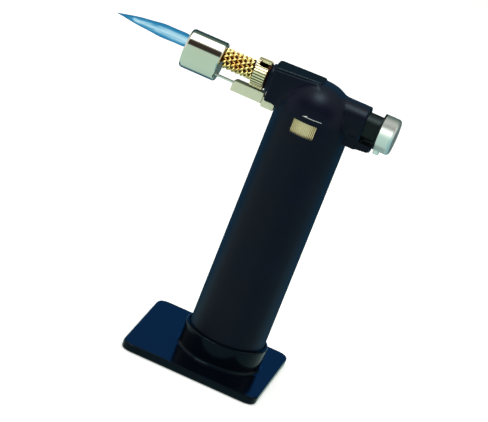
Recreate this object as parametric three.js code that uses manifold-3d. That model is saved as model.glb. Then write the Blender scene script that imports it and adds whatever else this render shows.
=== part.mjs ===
// Handheld butane torch with piezo ignition, standing in its push-in stand.
// Millimetres, +Z up. The origin is on the table, under the body's axis.
// The burner points along -X, the ignition button along +X, and the gas wheel faces -Y.
import * as THREE from "three";
import { mergeVertices } from "three/addons/utils/BufferGeometryUtils.js";
import Module from "manifold-3d";

const wasm = await Module();
wasm.setup();

// ---------------------------------------------------------------- driving dimensions

const FINE = 44; // segments round a large turned part
const MEDIUM = 28;
const COARSE = 16;
const RUNNING_GAP = 0.1; // radial clearance of parts that slide or turn in each other
const SEAT_GAP = 0.05; // radial clearance of parts that stay put in each other
const REACH = 40; // longer than any cut is deep

const STAND = {
  width: 66.5,
  depth: 69.8,
  thick: 3.8,
  cornerR: 6,
  bevel: 0.6,
  centreX: -6.1,
  footR: 21,
  footTop: 5.4,
  collarR: 19.8,
  collarTop: 15.1,
  rimR: 0.9,
  socketR: 18.2,
};

const BODY = { r: 18, wall: 1.8, bottom: 4, domeZ: 125.2 };
const BODY_INNER_R = BODY.r - BODY.wall;

// The block that carries the burner, in front of the dome.
const BLOCK = {
  left: -23.2,
  right: -3,
  halfDepth: 8,
  bottom: 125.7,
  wall: 1.8,
  topCornerR: 3,
  bottomCornerR: 0.8,
};

const BADGE = {
  left: -23.9,
  right: -1,
  halfWidthLeft: 7,
  halfWidthRight: 5.5,
  cornerR: 2,
  thick: 1.1,
  bevel: 0.3,
  topZ: 142.8,
  slope: THREE.MathUtils.degToRad(3),
};

const BURNER_Z = 134.7;
const BARREL = { left: -65, right: -47.75, r: 9.2, wall: 0.7, drop: 2.8, edgeR: 0.9 };
const BURNER_TUBE = { left: -54, right: -31.4, r: 2.5, bore: 1.9 };
const COIL = { left: -47.6, right: -32.6, r: 4.9, rootR: 3.3, fins: 6 };
const AIR_RING = { left: -32.3, right: -26.2, r: 7, bore: 6, grooves: 34, grooveDepth: 0.6 };
const AIR_SLOT = { length: 5, width: 3.2, turn: 36 };
const NECK = { left: -26.5, right: -16, r: 3.4, flangeR: 4.9, flangeThick: 1.5, tailR: 1.8 };
const NECK_BOSS = { left: -25.2, r: 6.6 }; // stands on the block's face, round the neck
const GAS_JET = { left: -28.6, right: -24.2, r: 1.4, bore: 0.6, orifice: 0.25 };
const FLAME_HOLDER = { left: -57, right: -52, r: 4.6, inletR: 1, ports: 8, portR: 0.45, portCircle: 3.2 };

const ELECTRODE_Z = 125.7;
const ELECTRODE = { rear: -26, front: -58.2, tipRise: 3.4, bend: 1.5, r: 0.6 };
const INSULATOR = { left: -38.2, right: -26.2, r: 1.15, bore: 0.65 };
const ELECTRODE_COVER = { left: -39.6, right: -24.4, halfDepth: 2.45, bottom: 122.2, top: 127.4 };
const LEAD_COVER = { left: -24.3, right: -18.2, halfDepth: 2.45, bottom: 121 };
const SHEET = 0.5; // thickness of the pressed sheet covers
const LEAD_R = 0.8;
const LEAD_HOLE = { halfDepth: 1.3, bottom: 122.4, top: 124.7 };

const BUTTON_Z = 131.95;
const COLLAR = { left: 8, right: 22.95, r: 8.7, bore: 6.6 };
const LUG = { left: 12, right: 22.7, halfDepth: 6, bottom: 120.9 };
const KEEL = { right: 28.9, bottomLeft: 121.3, bottomRight: 121.9, clearR: 8.85, slotHalf: 1.7 };
// The pocket behind the keel's slot, where the nub turns into its lock.
const LOCK = { floor: 120, clearR: 10.9, depth: 4.95, endPlay: 0.7 };
const PLUNGER = { left: 17, right: 29.7, r: 6.5, bore: 5.45, flangeR: 8.6, flangeThick: 0.7 };
const FINGER = { left: 14.2, right: 18.6, top: -0.9, tipBottom: -2.6, rootBottom: -3.25, rootY: -5.7 };
const CAP = { left: 30.5, right: 37.7, r: 8.57, edgeR: 1.9, stemR: 2.4, stemLeft: 27.7 };
const CAP_GROOVE = { left: 28.05, right: 28.75, r: 1.9 };
const NUB = { length: 2.6, halfWidth: 1.2, tipR: 10.5 };
const PRESS = 5.5; // how far the button travels
const PIEZO = { left: 3.4, right: 19.5, halfDepth: 2.5, halfHeight: 4.2, sideWall: 0.7, endWall: 1.6 };
const SLIDER = { left: 10.8, halfDepth: 1.7, halfHeight: 3.4 };
const IGNITER_RIB = { left: 8, right: 10, face: 2.6, bottom: 127.8, top: 137 };

const WINDOW = { left: -6.4, right: 5.1, bottom: 120.3, top: 127 };
const VALVE = { x: -0.65, y: -3.7 };
const VALVE_BODY = { r: 3.6, bottom: 94, top: 112, flangeR: 5, flangeTop: 109.1, boreBottom: 103 };
const GAS_INLET_R = 0.8;
const WHEEL = { r: 13.2, bottom: 119.7, top: 127.3, hubR: 5.4, hubBottom: 109.5, hubBore: 3.7 };
const WHEEL_SPRING = { bore: 3, bottom: 113, top: 119 }; // the well that holds the valve spring
const NOZZLE = { r: 1.6, bore: 0.7, bottom: 104, top: 131.5, flangeR: 2.6, flangeBottom: 113.2 };
const NOZZLE_GROOVE = { r: 1.3, bottom: 129.55, top: 130.45 };

const TANK = { r: 15.9, wall: 1.3, bottom: 7.6, floor: 2, top: 104 };
const TANK_CAP = { plugBottom: 99, flangeTop: 107 };
const BASE_CAP = { bore: 6, bottom: 4.3, top: 7.4 };
const FILLER = { r: 3, bottom: 5, top: 18, flangeR: 5, flangeBottom: 10.6, flangeTop: 11.8 };
const FILLER_WELL = { r: 2.2, bottom: 9.5, top: 17 }; // holds the filler spring
const FILLER_STEM = { r: 1.2, bottom: 4.4, top: 13, inletR: 0.5, headR: 2, headBottom: 9.7, headTop: 10.8 };
const WICK = { r: 1.6, bottom: 20, top: 93.8 };

const LEVER = { pivotX: 7, pivotZ: 129.6, yFrom: -5.2, yTo: -3, pinR: 0.8, pinBack: -10, eyeR: 1.6 };
const LEVER_ARM = { left: 1.5, bottom: 127.7, top: 129.3 }; // the side that lifts the nozzle
const LEVER_TAIL = { right: 13, bottom: 128.2, top: 129.4 }; // the side that the button presses
const FORK = { left: -1.5, right: 3, halfDepth: 3, gapHalf: 1.8 };

// Coil springs: mean radius, wire radius, both ends along their axis, and turns.
const RETURN_SPRING = [4.95, 0.3, 19.7, 28.7, 6];
const VALVE_SPRING = [2.25, 0.3, 114, 118.9, 4];
const FILLER_SPRING = [1.65, 0.25, 10.9, 16.9, 5];
const O_RING_R = 0.45;

// Where the screws go through both casing halves, and how deep each head sits behind the mid-plane.
const SCREWS = [
  { name: "casing_screw_left", x: -10, z: 112.5, headY: 12, tipY: -3, bossR: 2.9 },
  { name: "casing_screw_right", x: 10, z: 112.5, headY: 12, tipY: -3, bossR: 2.9 },
  { name: "casing_screw_top", x: -7.5, z: 138.3, headY: 6.2, tipY: -4, bossR: 2 },
  { name: "casing_screw_collar", x: 20, z: 123, headY: 4, tipY: -3.5, bossR: 0 },
];
const SCREW = { shankR: 1.1, holeR: 1.2, headR: 2.1, headThick: 1.3 };
Object.assign(SCREW, { driveArm: 1.3, driveWidth: 0.6, driveDepth: 0.7 });

// ---------------------------------------------------------------- materials

function material(color, roughness, metalness) {
  return new THREE.MeshStandardMaterial({ color, roughness, metalness });
}

const casingBlack = material(0x14171d, 0.42, 0);
const standNavy = material(0x062048, 0.15, 0.2);
const badgeBlack = material(0x0d1a26, 0.25, 0);
const buttonBlack = material(0x15181c, 0.5, 0);
const nickel = material(0xc9cfc6, 0.12, 1);
const satinSilver = material(0xc4cac6, 0.35, 1);
const champagne = material(0xcfc9a6, 0.38, 0.9);
const goldWire = material(0xd9a63c, 0.25, 1);
const brass = material(0xb98f45, 0.3, 1);
const coverSheet = material(0xc8c6a8, 0.35, 0.8);
const steel = material(0x9aa0a3, 0.3, 1);
const ceramic = material(0xe9e6dc, 0.5, 0);
const nylon = material(0xd9dcd6, 0.55, 0);
const igniterGrey = material(0x55606a, 0.5, 0);
const leadRed = material(0x8f2a20, 0.6, 0);
const hoseBlack = material(0x1b1b1b, 0.7, 0);
const sealRubber = material(0x101010, 0.8, 0);
const felt = material(0xd8d2c0, 0.95, 0);

// ---------------------------------------------------------------- shape helpers

// A closed three.js geometry as a solid that can be joined and cut.
function solid(geometry) {
  const bare = geometry.clone();
  bare.deleteAttribute("normal");
  bare.deleteAttribute("uv");
  const merged = mergeVertices(bare, 1e-4);
  const index = merged.index.array;
  const kept = [];
  for (let i = 0; i < index.length; i += 3) {
    const [a, b, c] = [index[i], index[i + 1], index[i + 2]];
    if (a !== b && b !== c && c !== a) kept.push(a, b, c);
  }
  const make = (triangles) =>
    new wasm.Manifold(
      new wasm.Mesh({
        numProp: 3,
        vertProperties: merged.attributes.position.array,
        triVerts: new Uint32Array(triangles),
      }),
    );
  const made = make(kept);
  return made.volume() > 0 ? made : make(kept.reverse());
}

function geometryOf(body) {
  const { vertProperties, triVerts } = body.getMesh();
  const indexed = new THREE.BufferGeometry();
  indexed.setAttribute("position", new THREE.BufferAttribute(vertProperties, 3));
  indexed.setIndex(new THREE.BufferAttribute(triVerts, 1));
  const flat = indexed.toNonIndexed();
  flat.computeVertexNormals();
  return flat;
}

function part(group, name, body, partMaterial) {
  const mesh = new THREE.Mesh(geometryOf(body), partMaterial);
  mesh.name = name;
  group.add(mesh);
  return mesh;
}

// Turns a closed [radius, height] outline about the Z axis, or about X with height running along +X.
function turned(outline, axis = "z", segments = MEDIUM) {
  const points = outline.map(([r, h]) => new THREE.Vector2(r, h));
  const [first, last] = [points[0], points.at(-1)];
  if (first.x > 0 || last.x > 0) points.push(first.clone());
  const lathe = new THREE.LatheGeometry(points, segments);
  if (axis === "z") lathe.rotateX(Math.PI / 2);
  else lathe.rotateZ(-Math.PI / 2);
  return solid(lathe);
}

// A quarter turn of outline points about (r, h), from angle a to angle b in degrees.
function arc(r, h, radius, a, b, steps = 3) {
  return Array.from({ length: steps + 1 }, (_, i) => {
    const angle = THREE.MathUtils.degToRad(a + ((b - a) * i) / steps);
    return [r + radius * Math.cos(angle), h + radius * Math.sin(angle)];
  });
}

function ring(inner, outer, from, to, axis = "z", segments = MEDIUM) {
  const outline = [
    [inner, from],
    [outer, from],
    [outer, to],
    [inner, to],
  ];
  return turned(outline, axis, segments);
}

function rod(radius, from, to, axis = "z", segments = COARSE) {
  const outline = [
    [0, from],
    [radius, from],
    [radius, to],
    [0, to],
  ];
  return turned(outline, axis, segments);
}

// A round rod along Y, for screws, pins and their holes.
function crossRod(radius, x, z, from, to, segments = COARSE) {
  return rod(radius, from, to, "z", segments).rotate([-90, 0, 0]).translate([x, 0, z]);
}

function block(x, y, z) {
  const box = new THREE.BoxGeometry(x[1] - x[0], y[1] - y[0], z[1] - z[0]);
  box.translate((x[0] + x[1]) / 2, (y[0] + y[1]) / 2, (z[0] + z[1]) / 2);
  return solid(box);
}

// A flat outline in X and Z, made thick along Y.
function profile(points, yFrom, yTo) {
  const shape = new THREE.Shape(points.map(([x, z]) => new THREE.Vector2(x, z)));
  const slab = new THREE.ExtrudeGeometry(shape, { depth: yTo - yFrom, bevelEnabled: false });
  slab.rotateX(Math.PI / 2);
  slab.translate(0, yTo, 0);
  return solid(slab);
}

// An outline with rounded corners, with one radius for each corner; corners run anticlockwise.
function roundedOutline(corners, radii) {
  const shape = new THREE.Shape();
  corners.forEach((corner, i) => {
    const radius = radii[i];
    const here = new THREE.Vector2(...corner);
    const before = new THREE.Vector2(...corners.at(i - 1));
    const after = new THREE.Vector2(...corners[(i + 1) % corners.length]);
    const start = here.clone().add(before.sub(here).setLength(radius));
    const end = here.clone().add(after.sub(here).setLength(radius));
    if (i === 0) shape.moveTo(start.x, start.y);
    else shape.lineTo(start.x, start.y);
    shape.quadraticCurveTo(here.x, here.y, end.x, end.y);
  });
  shape.closePath();
  return shape;
}

// A plate of that outline, lying in XY with its underside at z = 0 and its edges bevelled.
function plate(outline, thick, bevel) {
  return solid(
    new THREE.ExtrudeGeometry(outline, {
      depth: thick - 2 * bevel,
      bevelThickness: bevel,
      bevelSize: bevel,
      bevelOffset: -bevel,
      bevelSegments: 1,
      bevelEnabled: bevel > 0,
      curveSegments: 5,
    }).translate(0, 0, bevel),
  );
}

// A round section swept along a curve, hollow when a bore is given.
function swept(curve, radius, { bore = 0, steps = 24, sides = 8 } = {}) {
  const section = new THREE.Shape().absarc(0, 0, radius, 0, 2 * Math.PI);
  if (bore > 0) section.holes.push(new THREE.Path().absarc(0, 0, bore, 0, 2 * Math.PI, true));
  return solid(
    new THREE.ExtrudeGeometry(section, { steps, curveSegments: sides / 2, extrudePath: curve }),
  );
}

function through(points) {
  return new THREE.CatmullRomCurve3(points.map((p) => new THREE.Vector3(...p)));
}

class Helix extends THREE.Curve {
  constructor(radius, from, to, turns, axis) {
    super();
    Object.assign(this, { radius, from, to, turns, axis });
  }
  getPoint(t, target = new THREE.Vector3()) {
    const angle = 2 * Math.PI * this.turns * t;
    const along = this.from + (this.to - this.from) * t;
    const [u, v] = [this.radius * Math.cos(angle), this.radius * Math.sin(angle)];
    return this.axis === "x" ? target.set(along, u, v) : target.set(u, v, along);
  }
}

function spring(radius, wireR, from, to, turns, axis = "z") {
  const helix = new Helix(radius, from + wireR, to - wireR, turns, axis);
  return swept(helix, wireR, { steps: turns * 10, sides: 4 });
}

function oRing(majorR, minorR, z) {
  return turned(arc(majorR, z, minorR, 0, 300, 5), "z", COARSE);
}

// ---------------------------------------------------------------- stand

function standBase() {
  const { width, depth, thick, centreX, collarR, collarTop, rimR, footR, footTop } = STAND;
  const [x, y] = [width / 2, depth / 2];
  const corners = [
    [centreX - x, -y],
    [centreX + x, -y],
    [centreX + x, y],
    [centreX - x, y],
  ];
  const radii = corners.map(() => STAND.cornerR);
  const base = plate(roundedOutline(corners, radii), thick, STAND.bevel);
  const root = thick / 2; // the collar starts inside the plate
  const footEdge = 0.5;
  const collar = turned(
    [
      [STAND.socketR, root],
      [footR, root],
      ...arc(footR - footEdge, footTop - footEdge, footEdge, 0, 90, 3),
      [collarR, footTop + footEdge],
      ...arc(collarR - rimR, collarTop - rimR, rimR, 0, 90),
      [STAND.socketR, collarTop],
    ],
    "z",
    FINE,
  );
  const socket = rod(STAND.socketR, thick, REACH, "z", FINE);
  return base.add(collar).subtract(socket);
}

// ---------------------------------------------------------------- casing

// Height of the sloping face under the badge, at x.
function badgeSeat(x) {
  const middle = (BADGE.left + BADGE.right) / 2;
  return BADGE.topZ - BADGE.thick - SEAT_GAP + (x - middle) * Math.tan(BADGE.slope);
}

// The badge's plan, grown all round by a margin.
function badgeOutline(margin) {
  const { left, right, halfWidthLeft, halfWidthRight, cornerR } = BADGE;
  const half = (right - left) / 2 + margin;
  const corners = [
    [-half, -halfWidthLeft - margin],
    [half, -halfWidthRight - margin],
    [half, halfWidthRight + margin],
    [-half, halfWidthLeft + margin],
  ];
  return roundedOutline(
    corners,
    corners.map(() => cornerR),
  );
}

// Turns a plate that lies at z = 0 to the badge's slope, and puts its underside at the seat plus a lift.
function onBadgeSeat(body, lift) {
  const middle = (BADGE.left + BADGE.right) / 2;
  return body
    .rotate([0, -THREE.MathUtils.radToDeg(BADGE.slope), 0])
    .translate([middle, 0, badgeSeat(middle) + lift]);
}

// A bar with the burner block's rounded section, running from x = left to x = right.
function blockBar(left, right, inset) {
  const half = BLOCK.halfDepth - inset;
  const bottom = BLOCK.bottom + inset;
  const top = badgeSeat(BLOCK.left) - inset + (right - left) * Math.tan(BADGE.slope);
  const corners = [
    [-half, bottom],
    [half, bottom],
    [half, top],
    [-half, top],
  ];
  const { topCornerR, bottomCornerR } = BLOCK;
  const radii = [bottomCornerR, bottomCornerR, topCornerR, topCornerR];
  const section = roundedOutline(corners, radii);
  const bar = new THREE.ExtrudeGeometry(section, {
    depth: right - left,
    bevelEnabled: false,
    curveSegments: 4,
  });
  // The section's own x and y become Y and Z, and its depth becomes X.
  bar.rotateX(Math.PI / 2);
  bar.rotateZ(Math.PI / 2);
  bar.translate(left, 0, 0);
  return solid(bar);
}

function casingOutside() {
  const bottomEdge = 0.5;
  const barrel = turned(
    [
      [0, BODY.bottom],
      [BODY.r - bottomEdge, BODY.bottom],
      [BODY.r, BODY.bottom + bottomEdge],
      ...arc(0, BODY.domeZ, BODY.r, 0, 90, 9).slice(0, -1),
      [0, BODY.domeZ + BODY.r],
    ],
    "z",
    FINE,
  );
  const collarEdge = 0.5;
  const collar = turned(
    [
      [0, COLLAR.left],
      [COLLAR.r, COLLAR.left],
      [COLLAR.r, COLLAR.right - collarEdge],
      [COLLAR.r - collarEdge, COLLAR.right],
      [0, COLLAR.right],
    ],
    "x",
  ).translate([0, 0, BUTTON_Z]);
  const lugAndKeel = profile(
    [
      [LUG.left, LUG.bottom],
      [LUG.right - 0.4, LUG.bottom],
      [LUG.right, KEEL.bottomLeft],
      [KEEL.right - 0.5, KEEL.bottomRight],
      [KEEL.right, KEEL.bottomRight + 0.5],
      [KEEL.right, BUTTON_Z],
      [LUG.left, BUTTON_Z],
    ],
    -LUG.halfDepth,
    LUG.halfDepth,
  );
  const lockWall = block(
    [LUG.right - 2, KEEL.right],
    [KEEL.slotHalf, LUG.halfDepth],
    [LOCK.floor, KEEL.bottomRight + 1],
  );
  const keelClearance = rod(KEEL.clearR, COLLAR.right, REACH, "x", MEDIUM);
  const keel = lugAndKeel.add(lockWall).subtract(keelClearance.translate([0, 0, BUTTON_Z]));
  const neckBoss = rod(NECK_BOSS.r, NECK_BOSS.left, BLOCK.left + 1, "x", MEDIUM);
  const badgeMargin = 0.15;
  return barrel
    .add(blockBar(BLOCK.left, BLOCK.right, 0))
    .add(neckBoss.translate([0, 0, BURNER_Z]))
    .add(collar)
    .add(keel)
    .subtract(onBadgeSeat(plate(badgeOutline(badgeMargin), REACH, 0), 0));
}

function casingInside() {
  const main = turned(
    [
      [0, -1],
      [BODY_INNER_R, -1],
      ...arc(0, BODY.domeZ, BODY_INNER_R, 0, 90, 6).slice(0, -1),
      [0, BODY.domeZ + BODY_INNER_R],
    ],
    "z",
    MEDIUM,
  );
  const collarBore = rod(COLLAR.bore, 5, REACH, "x", MEDIUM).translate([0, 0, BUTTON_Z]);
  const blockBore = blockBar(BLOCK.left + BLOCK.wall, BLOCK.right, BLOCK.wall);
  const wheelGap = 0.25;
  const wheelPocket = rod(
    WHEEL.r + wheelGap,
    WHEEL.bottom - wheelGap,
    WHEEL.top + wheelGap,
    "z",
    MEDIUM,
  ).translate([VALVE.x, VALVE.y, 0]);
  return main.add(blockBore).add(collarBore).add(wheelPocket);
}

// The openings that go right through the wall.
function casingOpenings() {
  const window = block(
    [WINDOW.left, WINDOW.right],
    [-REACH, -10],
    [WINDOW.bottom, WINDOW.top],
  );
  const neckHole = rod(NECK.r + SEAT_GAP, -REACH, -18, "x").translate([0, 0, BURNER_Z]);
  const leadHole = block(
    [-BODY.r - 1, -14],
    [-LEAD_HOLE.halfDepth, LEAD_HOLE.halfDepth],
    [LEAD_HOLE.bottom, LEAD_HOLE.top],
  );
  const nubLeft = CAP.left - PRESS - 0.4;
  const slotSides = [-KEEL.slotHalf, KEEL.slotHalf];
  const keelHeight = [BUTTON_Z - LOCK.clearR - 2, BUTTON_Z - PLUNGER.r];
  const nubSlot = block([nubLeft, REACH], slotSides, keelHeight);
  const lockSweep = rod(LOCK.clearR, nubLeft, nubLeft + NUB.length + LOCK.endPlay, "x", MEDIUM);
  const lockSide = block([nubLeft - 1, REACH], [0, LOCK.depth], keelHeight);
  const lockLeg = lockSweep.translate([0, 0, BUTTON_Z]).intersect(lockSide);
  return window.add(neckHole).add(leadHole).add(nubSlot).add(lockLeg);
}

// Bosses and ribs that stand on the inside of the wall.
function casingSupports(outside) {
  const leverBoss = crossRod(2, LEVER.pivotX, LEVER.pivotZ, -BODY.r, LEVER.yFrom - 0.4);
  const { left, right, face, bottom, top } = IGNITER_RIB;
  const igniterRib = block([left, right], [face, BODY.r], [bottom, top]);
  const supports = SCREWS.filter((s) => s.bossR > 0)
    .map((s) => crossRod(s.bossR, s.x, s.z, -BODY.r, BODY.r))
    .reduce((all, boss) => all.add(boss), leverBoss.add(igniterRib));
  return supports.intersect(outside);
}

function casingHoles() {
  const pinHole = crossRod(
    LEVER.pinR + SEAT_GAP,
    LEVER.pivotX,
    LEVER.pivotZ,
    LEVER.pinBack - 0.2,
    LEVER.yFrom,
  );
  return SCREWS.reduce((all, { x, z, headY, tipY }) => {
    const shank = crossRod(SCREW.holeR, x, z, tipY - 0.3, headY + 1);
    const counterbore = crossRod(SCREW.headR + 0.3, x, z, headY, REACH);
    return all.add(shank).add(counterbore);
  }, pinHole);
}

function casing(group) {
  const outside = casingOutside();
  const whole = outside
    .subtract(casingInside())
    .add(casingSupports(outside))
    .subtract(casingOpenings())
    .subtract(casingHoles());
  const everyX = [-2 * REACH, 2 * REACH];
  const everyZ = [-REACH, 5 * REACH];
  part(group, "front_casing", whole.intersect(block(everyX, [-REACH, 0], everyZ)), casingBlack);
  part(group, "back_casing", whole.intersect(block(everyX, [0, REACH], everyZ)), casingBlack);
}

function casingScrew({ x, z, headY, tipY }) {
  const { shankR, headR, headThick, driveArm, driveWidth, driveDepth } = SCREW;
  const underHead = headY + SEAT_GAP;
  const top = underHead + headThick;
  const shank = crossRod(shankR, x, z, tipY, underHead + headThick / 2, 10);
  const head = crossRod(headR, x, z, underHead, top);
  const depth = [top - driveDepth, top + 1];
  const half = driveWidth / 2;
  const across = block([x - driveArm, x + driveArm], depth, [z - half, z + half]);
  const upright = block([x - half, x + half], depth, [z - driveArm, z + driveArm]);
  return shank.add(head).subtract(across.add(upright));
}

function baseCap() {
  return ring(BASE_CAP.bore, BODY_INNER_R - SEAT_GAP, BASE_CAP.bottom, BASE_CAP.top);
}

// ---------------------------------------------------------------- gas tank and filler

function fuelTank() {
  const { r, wall, bottom, floor, top } = TANK;
  const edge = 1.5;
  return turned(
    [
      [FILLER.r + SEAT_GAP, bottom],
      [r - edge, bottom],
      [r, bottom + edge],
      [r, top],
      [r - wall, top],
      [r - wall, bottom + floor],
      [FILLER.r + SEAT_GAP, bottom + floor],
    ],
    "z",
    MEDIUM,
  );
}

function tankCap() {
  const { plugBottom, flangeTop } = TANK_CAP;
  const plug = rod(TANK.r - TANK.wall - SEAT_GAP, plugBottom, TANK.top + 0.5, "z", MEDIUM);
  const flange = rod(TANK.r, TANK.top + SEAT_GAP, flangeTop, "z", MEDIUM);
  const valveBore = rod(VALVE_BODY.r + RUNNING_GAP, plugBottom - 1, flangeTop + 1);
  const sealSeat = rod(VALVE_BODY.flangeR, flangeTop - 1.1, flangeTop + 1);
  const valveSeat = valveBore.add(sealSeat).translate([VALVE.x, VALVE.y, 0]);
  return plug.add(flange).subtract(valveSeat);
}

function fillerBody() {
  const { r, bottom, top, flangeR, flangeBottom, flangeTop } = FILLER;
  const boreR = FILLER_STEM.r + RUNNING_GAP;
  return turned(
    [
      [boreR, bottom],
      [r, bottom],
      [r, flangeBottom],
      [flangeR, flangeBottom],
      [flangeR, flangeTop],
      [r, flangeTop],
      [r, top],
      [GAS_INLET_R, top],
      [GAS_INLET_R, FILLER_WELL.top],
      [FILLER_WELL.r, FILLER_WELL.top],
      [FILLER_WELL.r, FILLER_WELL.bottom],
      [boreR, FILLER_WELL.bottom],
    ],
    "z",
    COARSE,
  );
}

function fillerStem() {
  const { r, bottom, top, inletR, headR, headBottom, headTop } = FILLER_STEM;
  const inletDepth = 1.6;
  return turned(
    [
      [0, bottom + inletDepth + 0.4],
      [inletR, bottom + inletDepth],
      [inletR, bottom],
      [r, bottom],
      [r, headBottom],
      [headR, headBottom],
      [headR, headTop],
      [r, headTop],
      [r, top],
      [0, top],
    ],
    "z",
    COARSE,
  );
}

// ---------------------------------------------------------------- gas valve, about its own axis

function gasValveBody() {
  const { r, bottom, top, flangeR, flangeTop, boreBottom } = VALVE_BODY;
  const flangeBottom = TANK_CAP.flangeTop + RUNNING_GAP;
  const boreR = NOZZLE.r + RUNNING_GAP;
  return turned(
    [
      [GAS_INLET_R, bottom],
      [r, bottom],
      [r, flangeBottom],
      [flangeR, flangeBottom],
      [flangeR, flangeTop],
      [r, flangeTop],
      [r, top],
      [boreR, top],
      [boreR, boreBottom],
      [GAS_INLET_R, boreBottom],
    ],
    "z",
    COARSE,
  );
}

function gasWheel() {
  const { r, bottom, top, hubR, hubBottom, hubBore } = WHEEL;
  const edge = 0.4;
  const boreR = NOZZLE.r + RUNNING_GAP;
  return turned(
    [
      [hubBore, hubBottom],
      [hubR, hubBottom],
      [hubR, bottom],
      [r - edge, bottom],
      [r, bottom + edge],
      [r, top - edge],
      [r - edge, top],
      [boreR, top],
      [boreR, WHEEL_SPRING.top],
      [WHEEL_SPRING.bore, WHEEL_SPRING.top],
      [WHEEL_SPRING.bore, WHEEL_SPRING.bottom],
      [hubBore, WHEEL_SPRING.bottom],
    ],
    "z",
    MEDIUM,
  );
}

function gasNozzle() {
  const { r, bore, bottom, top, flangeR, flangeBottom } = NOZZLE;
  const flangeTop = flangeBottom + 0.7;
  const edge = 0.4;
  return turned(
    [
      [bore, bottom],
      [r, bottom],
      [r, flangeBottom],
      [flangeR, flangeBottom],
      [flangeR, flangeTop],
      [r, flangeTop],
      [r, NOZZLE_GROOVE.bottom],
      [NOZZLE_GROOVE.r, NOZZLE_GROOVE.bottom],
      [NOZZLE_GROOVE.r, NOZZLE_GROOVE.top],
      [r, NOZZLE_GROOVE.top],
      [r, top - edge],
      [r - edge, top],
      [bore, top],
    ],
    "z",
    COARSE,
  );
}

function nozzleClip() {
  const { r, bottom, top } = NOZZLE_GROOVE;
  return ring(r + SEAT_GAP, 2.9, bottom + SEAT_GAP, top - SEAT_GAP, "z", COARSE);
}

// A rocker with an eye for its pin: the fork lifts the nozzle when the tail is pressed down.
function valveLever() {
  const { pivotX, pivotZ, yFrom, yTo, pinR, pinBack, eyeR } = LEVER;
  const shoulder = 0.75 * eyeR;
  const arm = profile(
    [
      [LEVER_ARM.left, LEVER_ARM.bottom],
      [pivotX - eyeR, LEVER_ARM.bottom],
      [pivotX + shoulder, LEVER_TAIL.bottom],
      [LEVER_TAIL.right, LEVER_TAIL.bottom],
      [LEVER_TAIL.right, LEVER_TAIL.top],
      [pivotX + eyeR, LEVER_TAIL.top],
      [pivotX + shoulder, pivotZ + 0.7 * eyeR],
      [pivotX, pivotZ + eyeR],
      [pivotX - shoulder, pivotZ + 0.7 * eyeR],
      [pivotX - eyeR, LEVER_ARM.top],
      [LEVER_ARM.left, LEVER_ARM.top],
    ],
    yFrom,
    yTo,
  );
  const { left, right, halfDepth, gapHalf } = FORK;
  const forkHeight = [LEVER_ARM.bottom, LEVER_ARM.top];
  const fork = block([left, right], [VALVE.y - halfDepth, VALVE.y + halfDepth], forkHeight);
  const gap = block(
    [left - 1, VALVE.x + NOZZLE.r + 0.5],
    [VALVE.y - gapHalf, VALVE.y + gapHalf],
    [LEVER_ARM.bottom - 1, LEVER_ARM.top + 1],
  );
  const pinHole = crossRod(pinR + RUNNING_GAP, pivotX, pivotZ, pinBack, 0);
  return arm.add(fork).subtract(gap).subtract(pinHole);
}

// ---------------------------------------------------------------- burner, about its own axis

function barrel() {
  const { left, right, r, wall, edgeR } = BARREL;
  const rearWall = 1.2;
  const rim = wall / 2;
  const shell = turned(
    [
      [r - wall, left],
      [r - rim, left],
      [r, left + rim],
      ...arc(r - edgeR, right - edgeR, edgeR, 0, 90),
      [0, right],
      [0, right - rearWall],
      [r - wall, right - rearWall],
    ],
    "x",
    MEDIUM,
  ).translate([0, 0, -BARREL.drop]);
  const cut = [right - rearWall - 1, right + 1];
  const tubeHole = rod(BURNER_TUBE.r + SEAT_GAP, ...cut, "x");
  const electrodeHole = rod(ELECTRODE.r + 0.3, ...cut, "x");
  return shell.subtract(tubeHole).subtract(electrodeHole.translate([0, 0, ELECTRODE_Z - BURNER_Z]));
}

function flameHolder() {
  const { left, right, r, inletR, ports, portR, portCircle } = FLAME_HOLDER;
  const step = BURNER_TUBE.left - RUNNING_GAP;
  const edge = 0.4;
  const body = turned(
    [
      [inletR, left],
      [r - edge, left],
      [r, left + edge],
      [r, right],
      [BURNER_TUBE.r + SEAT_GAP, right],
      [BURNER_TUBE.r + SEAT_GAP, step],
      [inletR, step],
    ],
    "x",
  );
  const port = rod(portR, left - 1, right + 1, "x", 8).translate([0, 0, portCircle]);
  return Array.from({ length: ports }, (_, i) => (360 * i) / ports).reduce(
    (cut, turn) => cut.subtract(port.rotate([turn, 0, 0])),
    body,
  );
}

function coolingCoil() {
  const { left, right, r, rootR, fins } = COIL;
  const pitch = (right - left) / fins;
  const outline = [
    [BURNER_TUBE.r + SEAT_GAP, left],
    [rootR, left],
  ];
  for (let i = 0; i < fins; i += 1) {
    const x = left + pitch * i;
    outline.push([rootR, x + 0.2 * pitch]);
    outline.push([r, x + 0.35 * pitch], [r, x + 0.65 * pitch]);
    outline.push([rootR, x + 0.8 * pitch]);
  }
  outline.push([rootR, right], [BURNER_TUBE.r + SEAT_GAP, right]);
  return turned(outline, "x", COARSE);
}

// A slot at the burner's upper front, open towards the rear.
function airSlot(left, right, width) {
  const slot = block([left, right], [-width / 2, width / 2], [0, 9]);
  return slot.rotate([AIR_SLOT.turn, 0, 0]);
}

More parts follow.
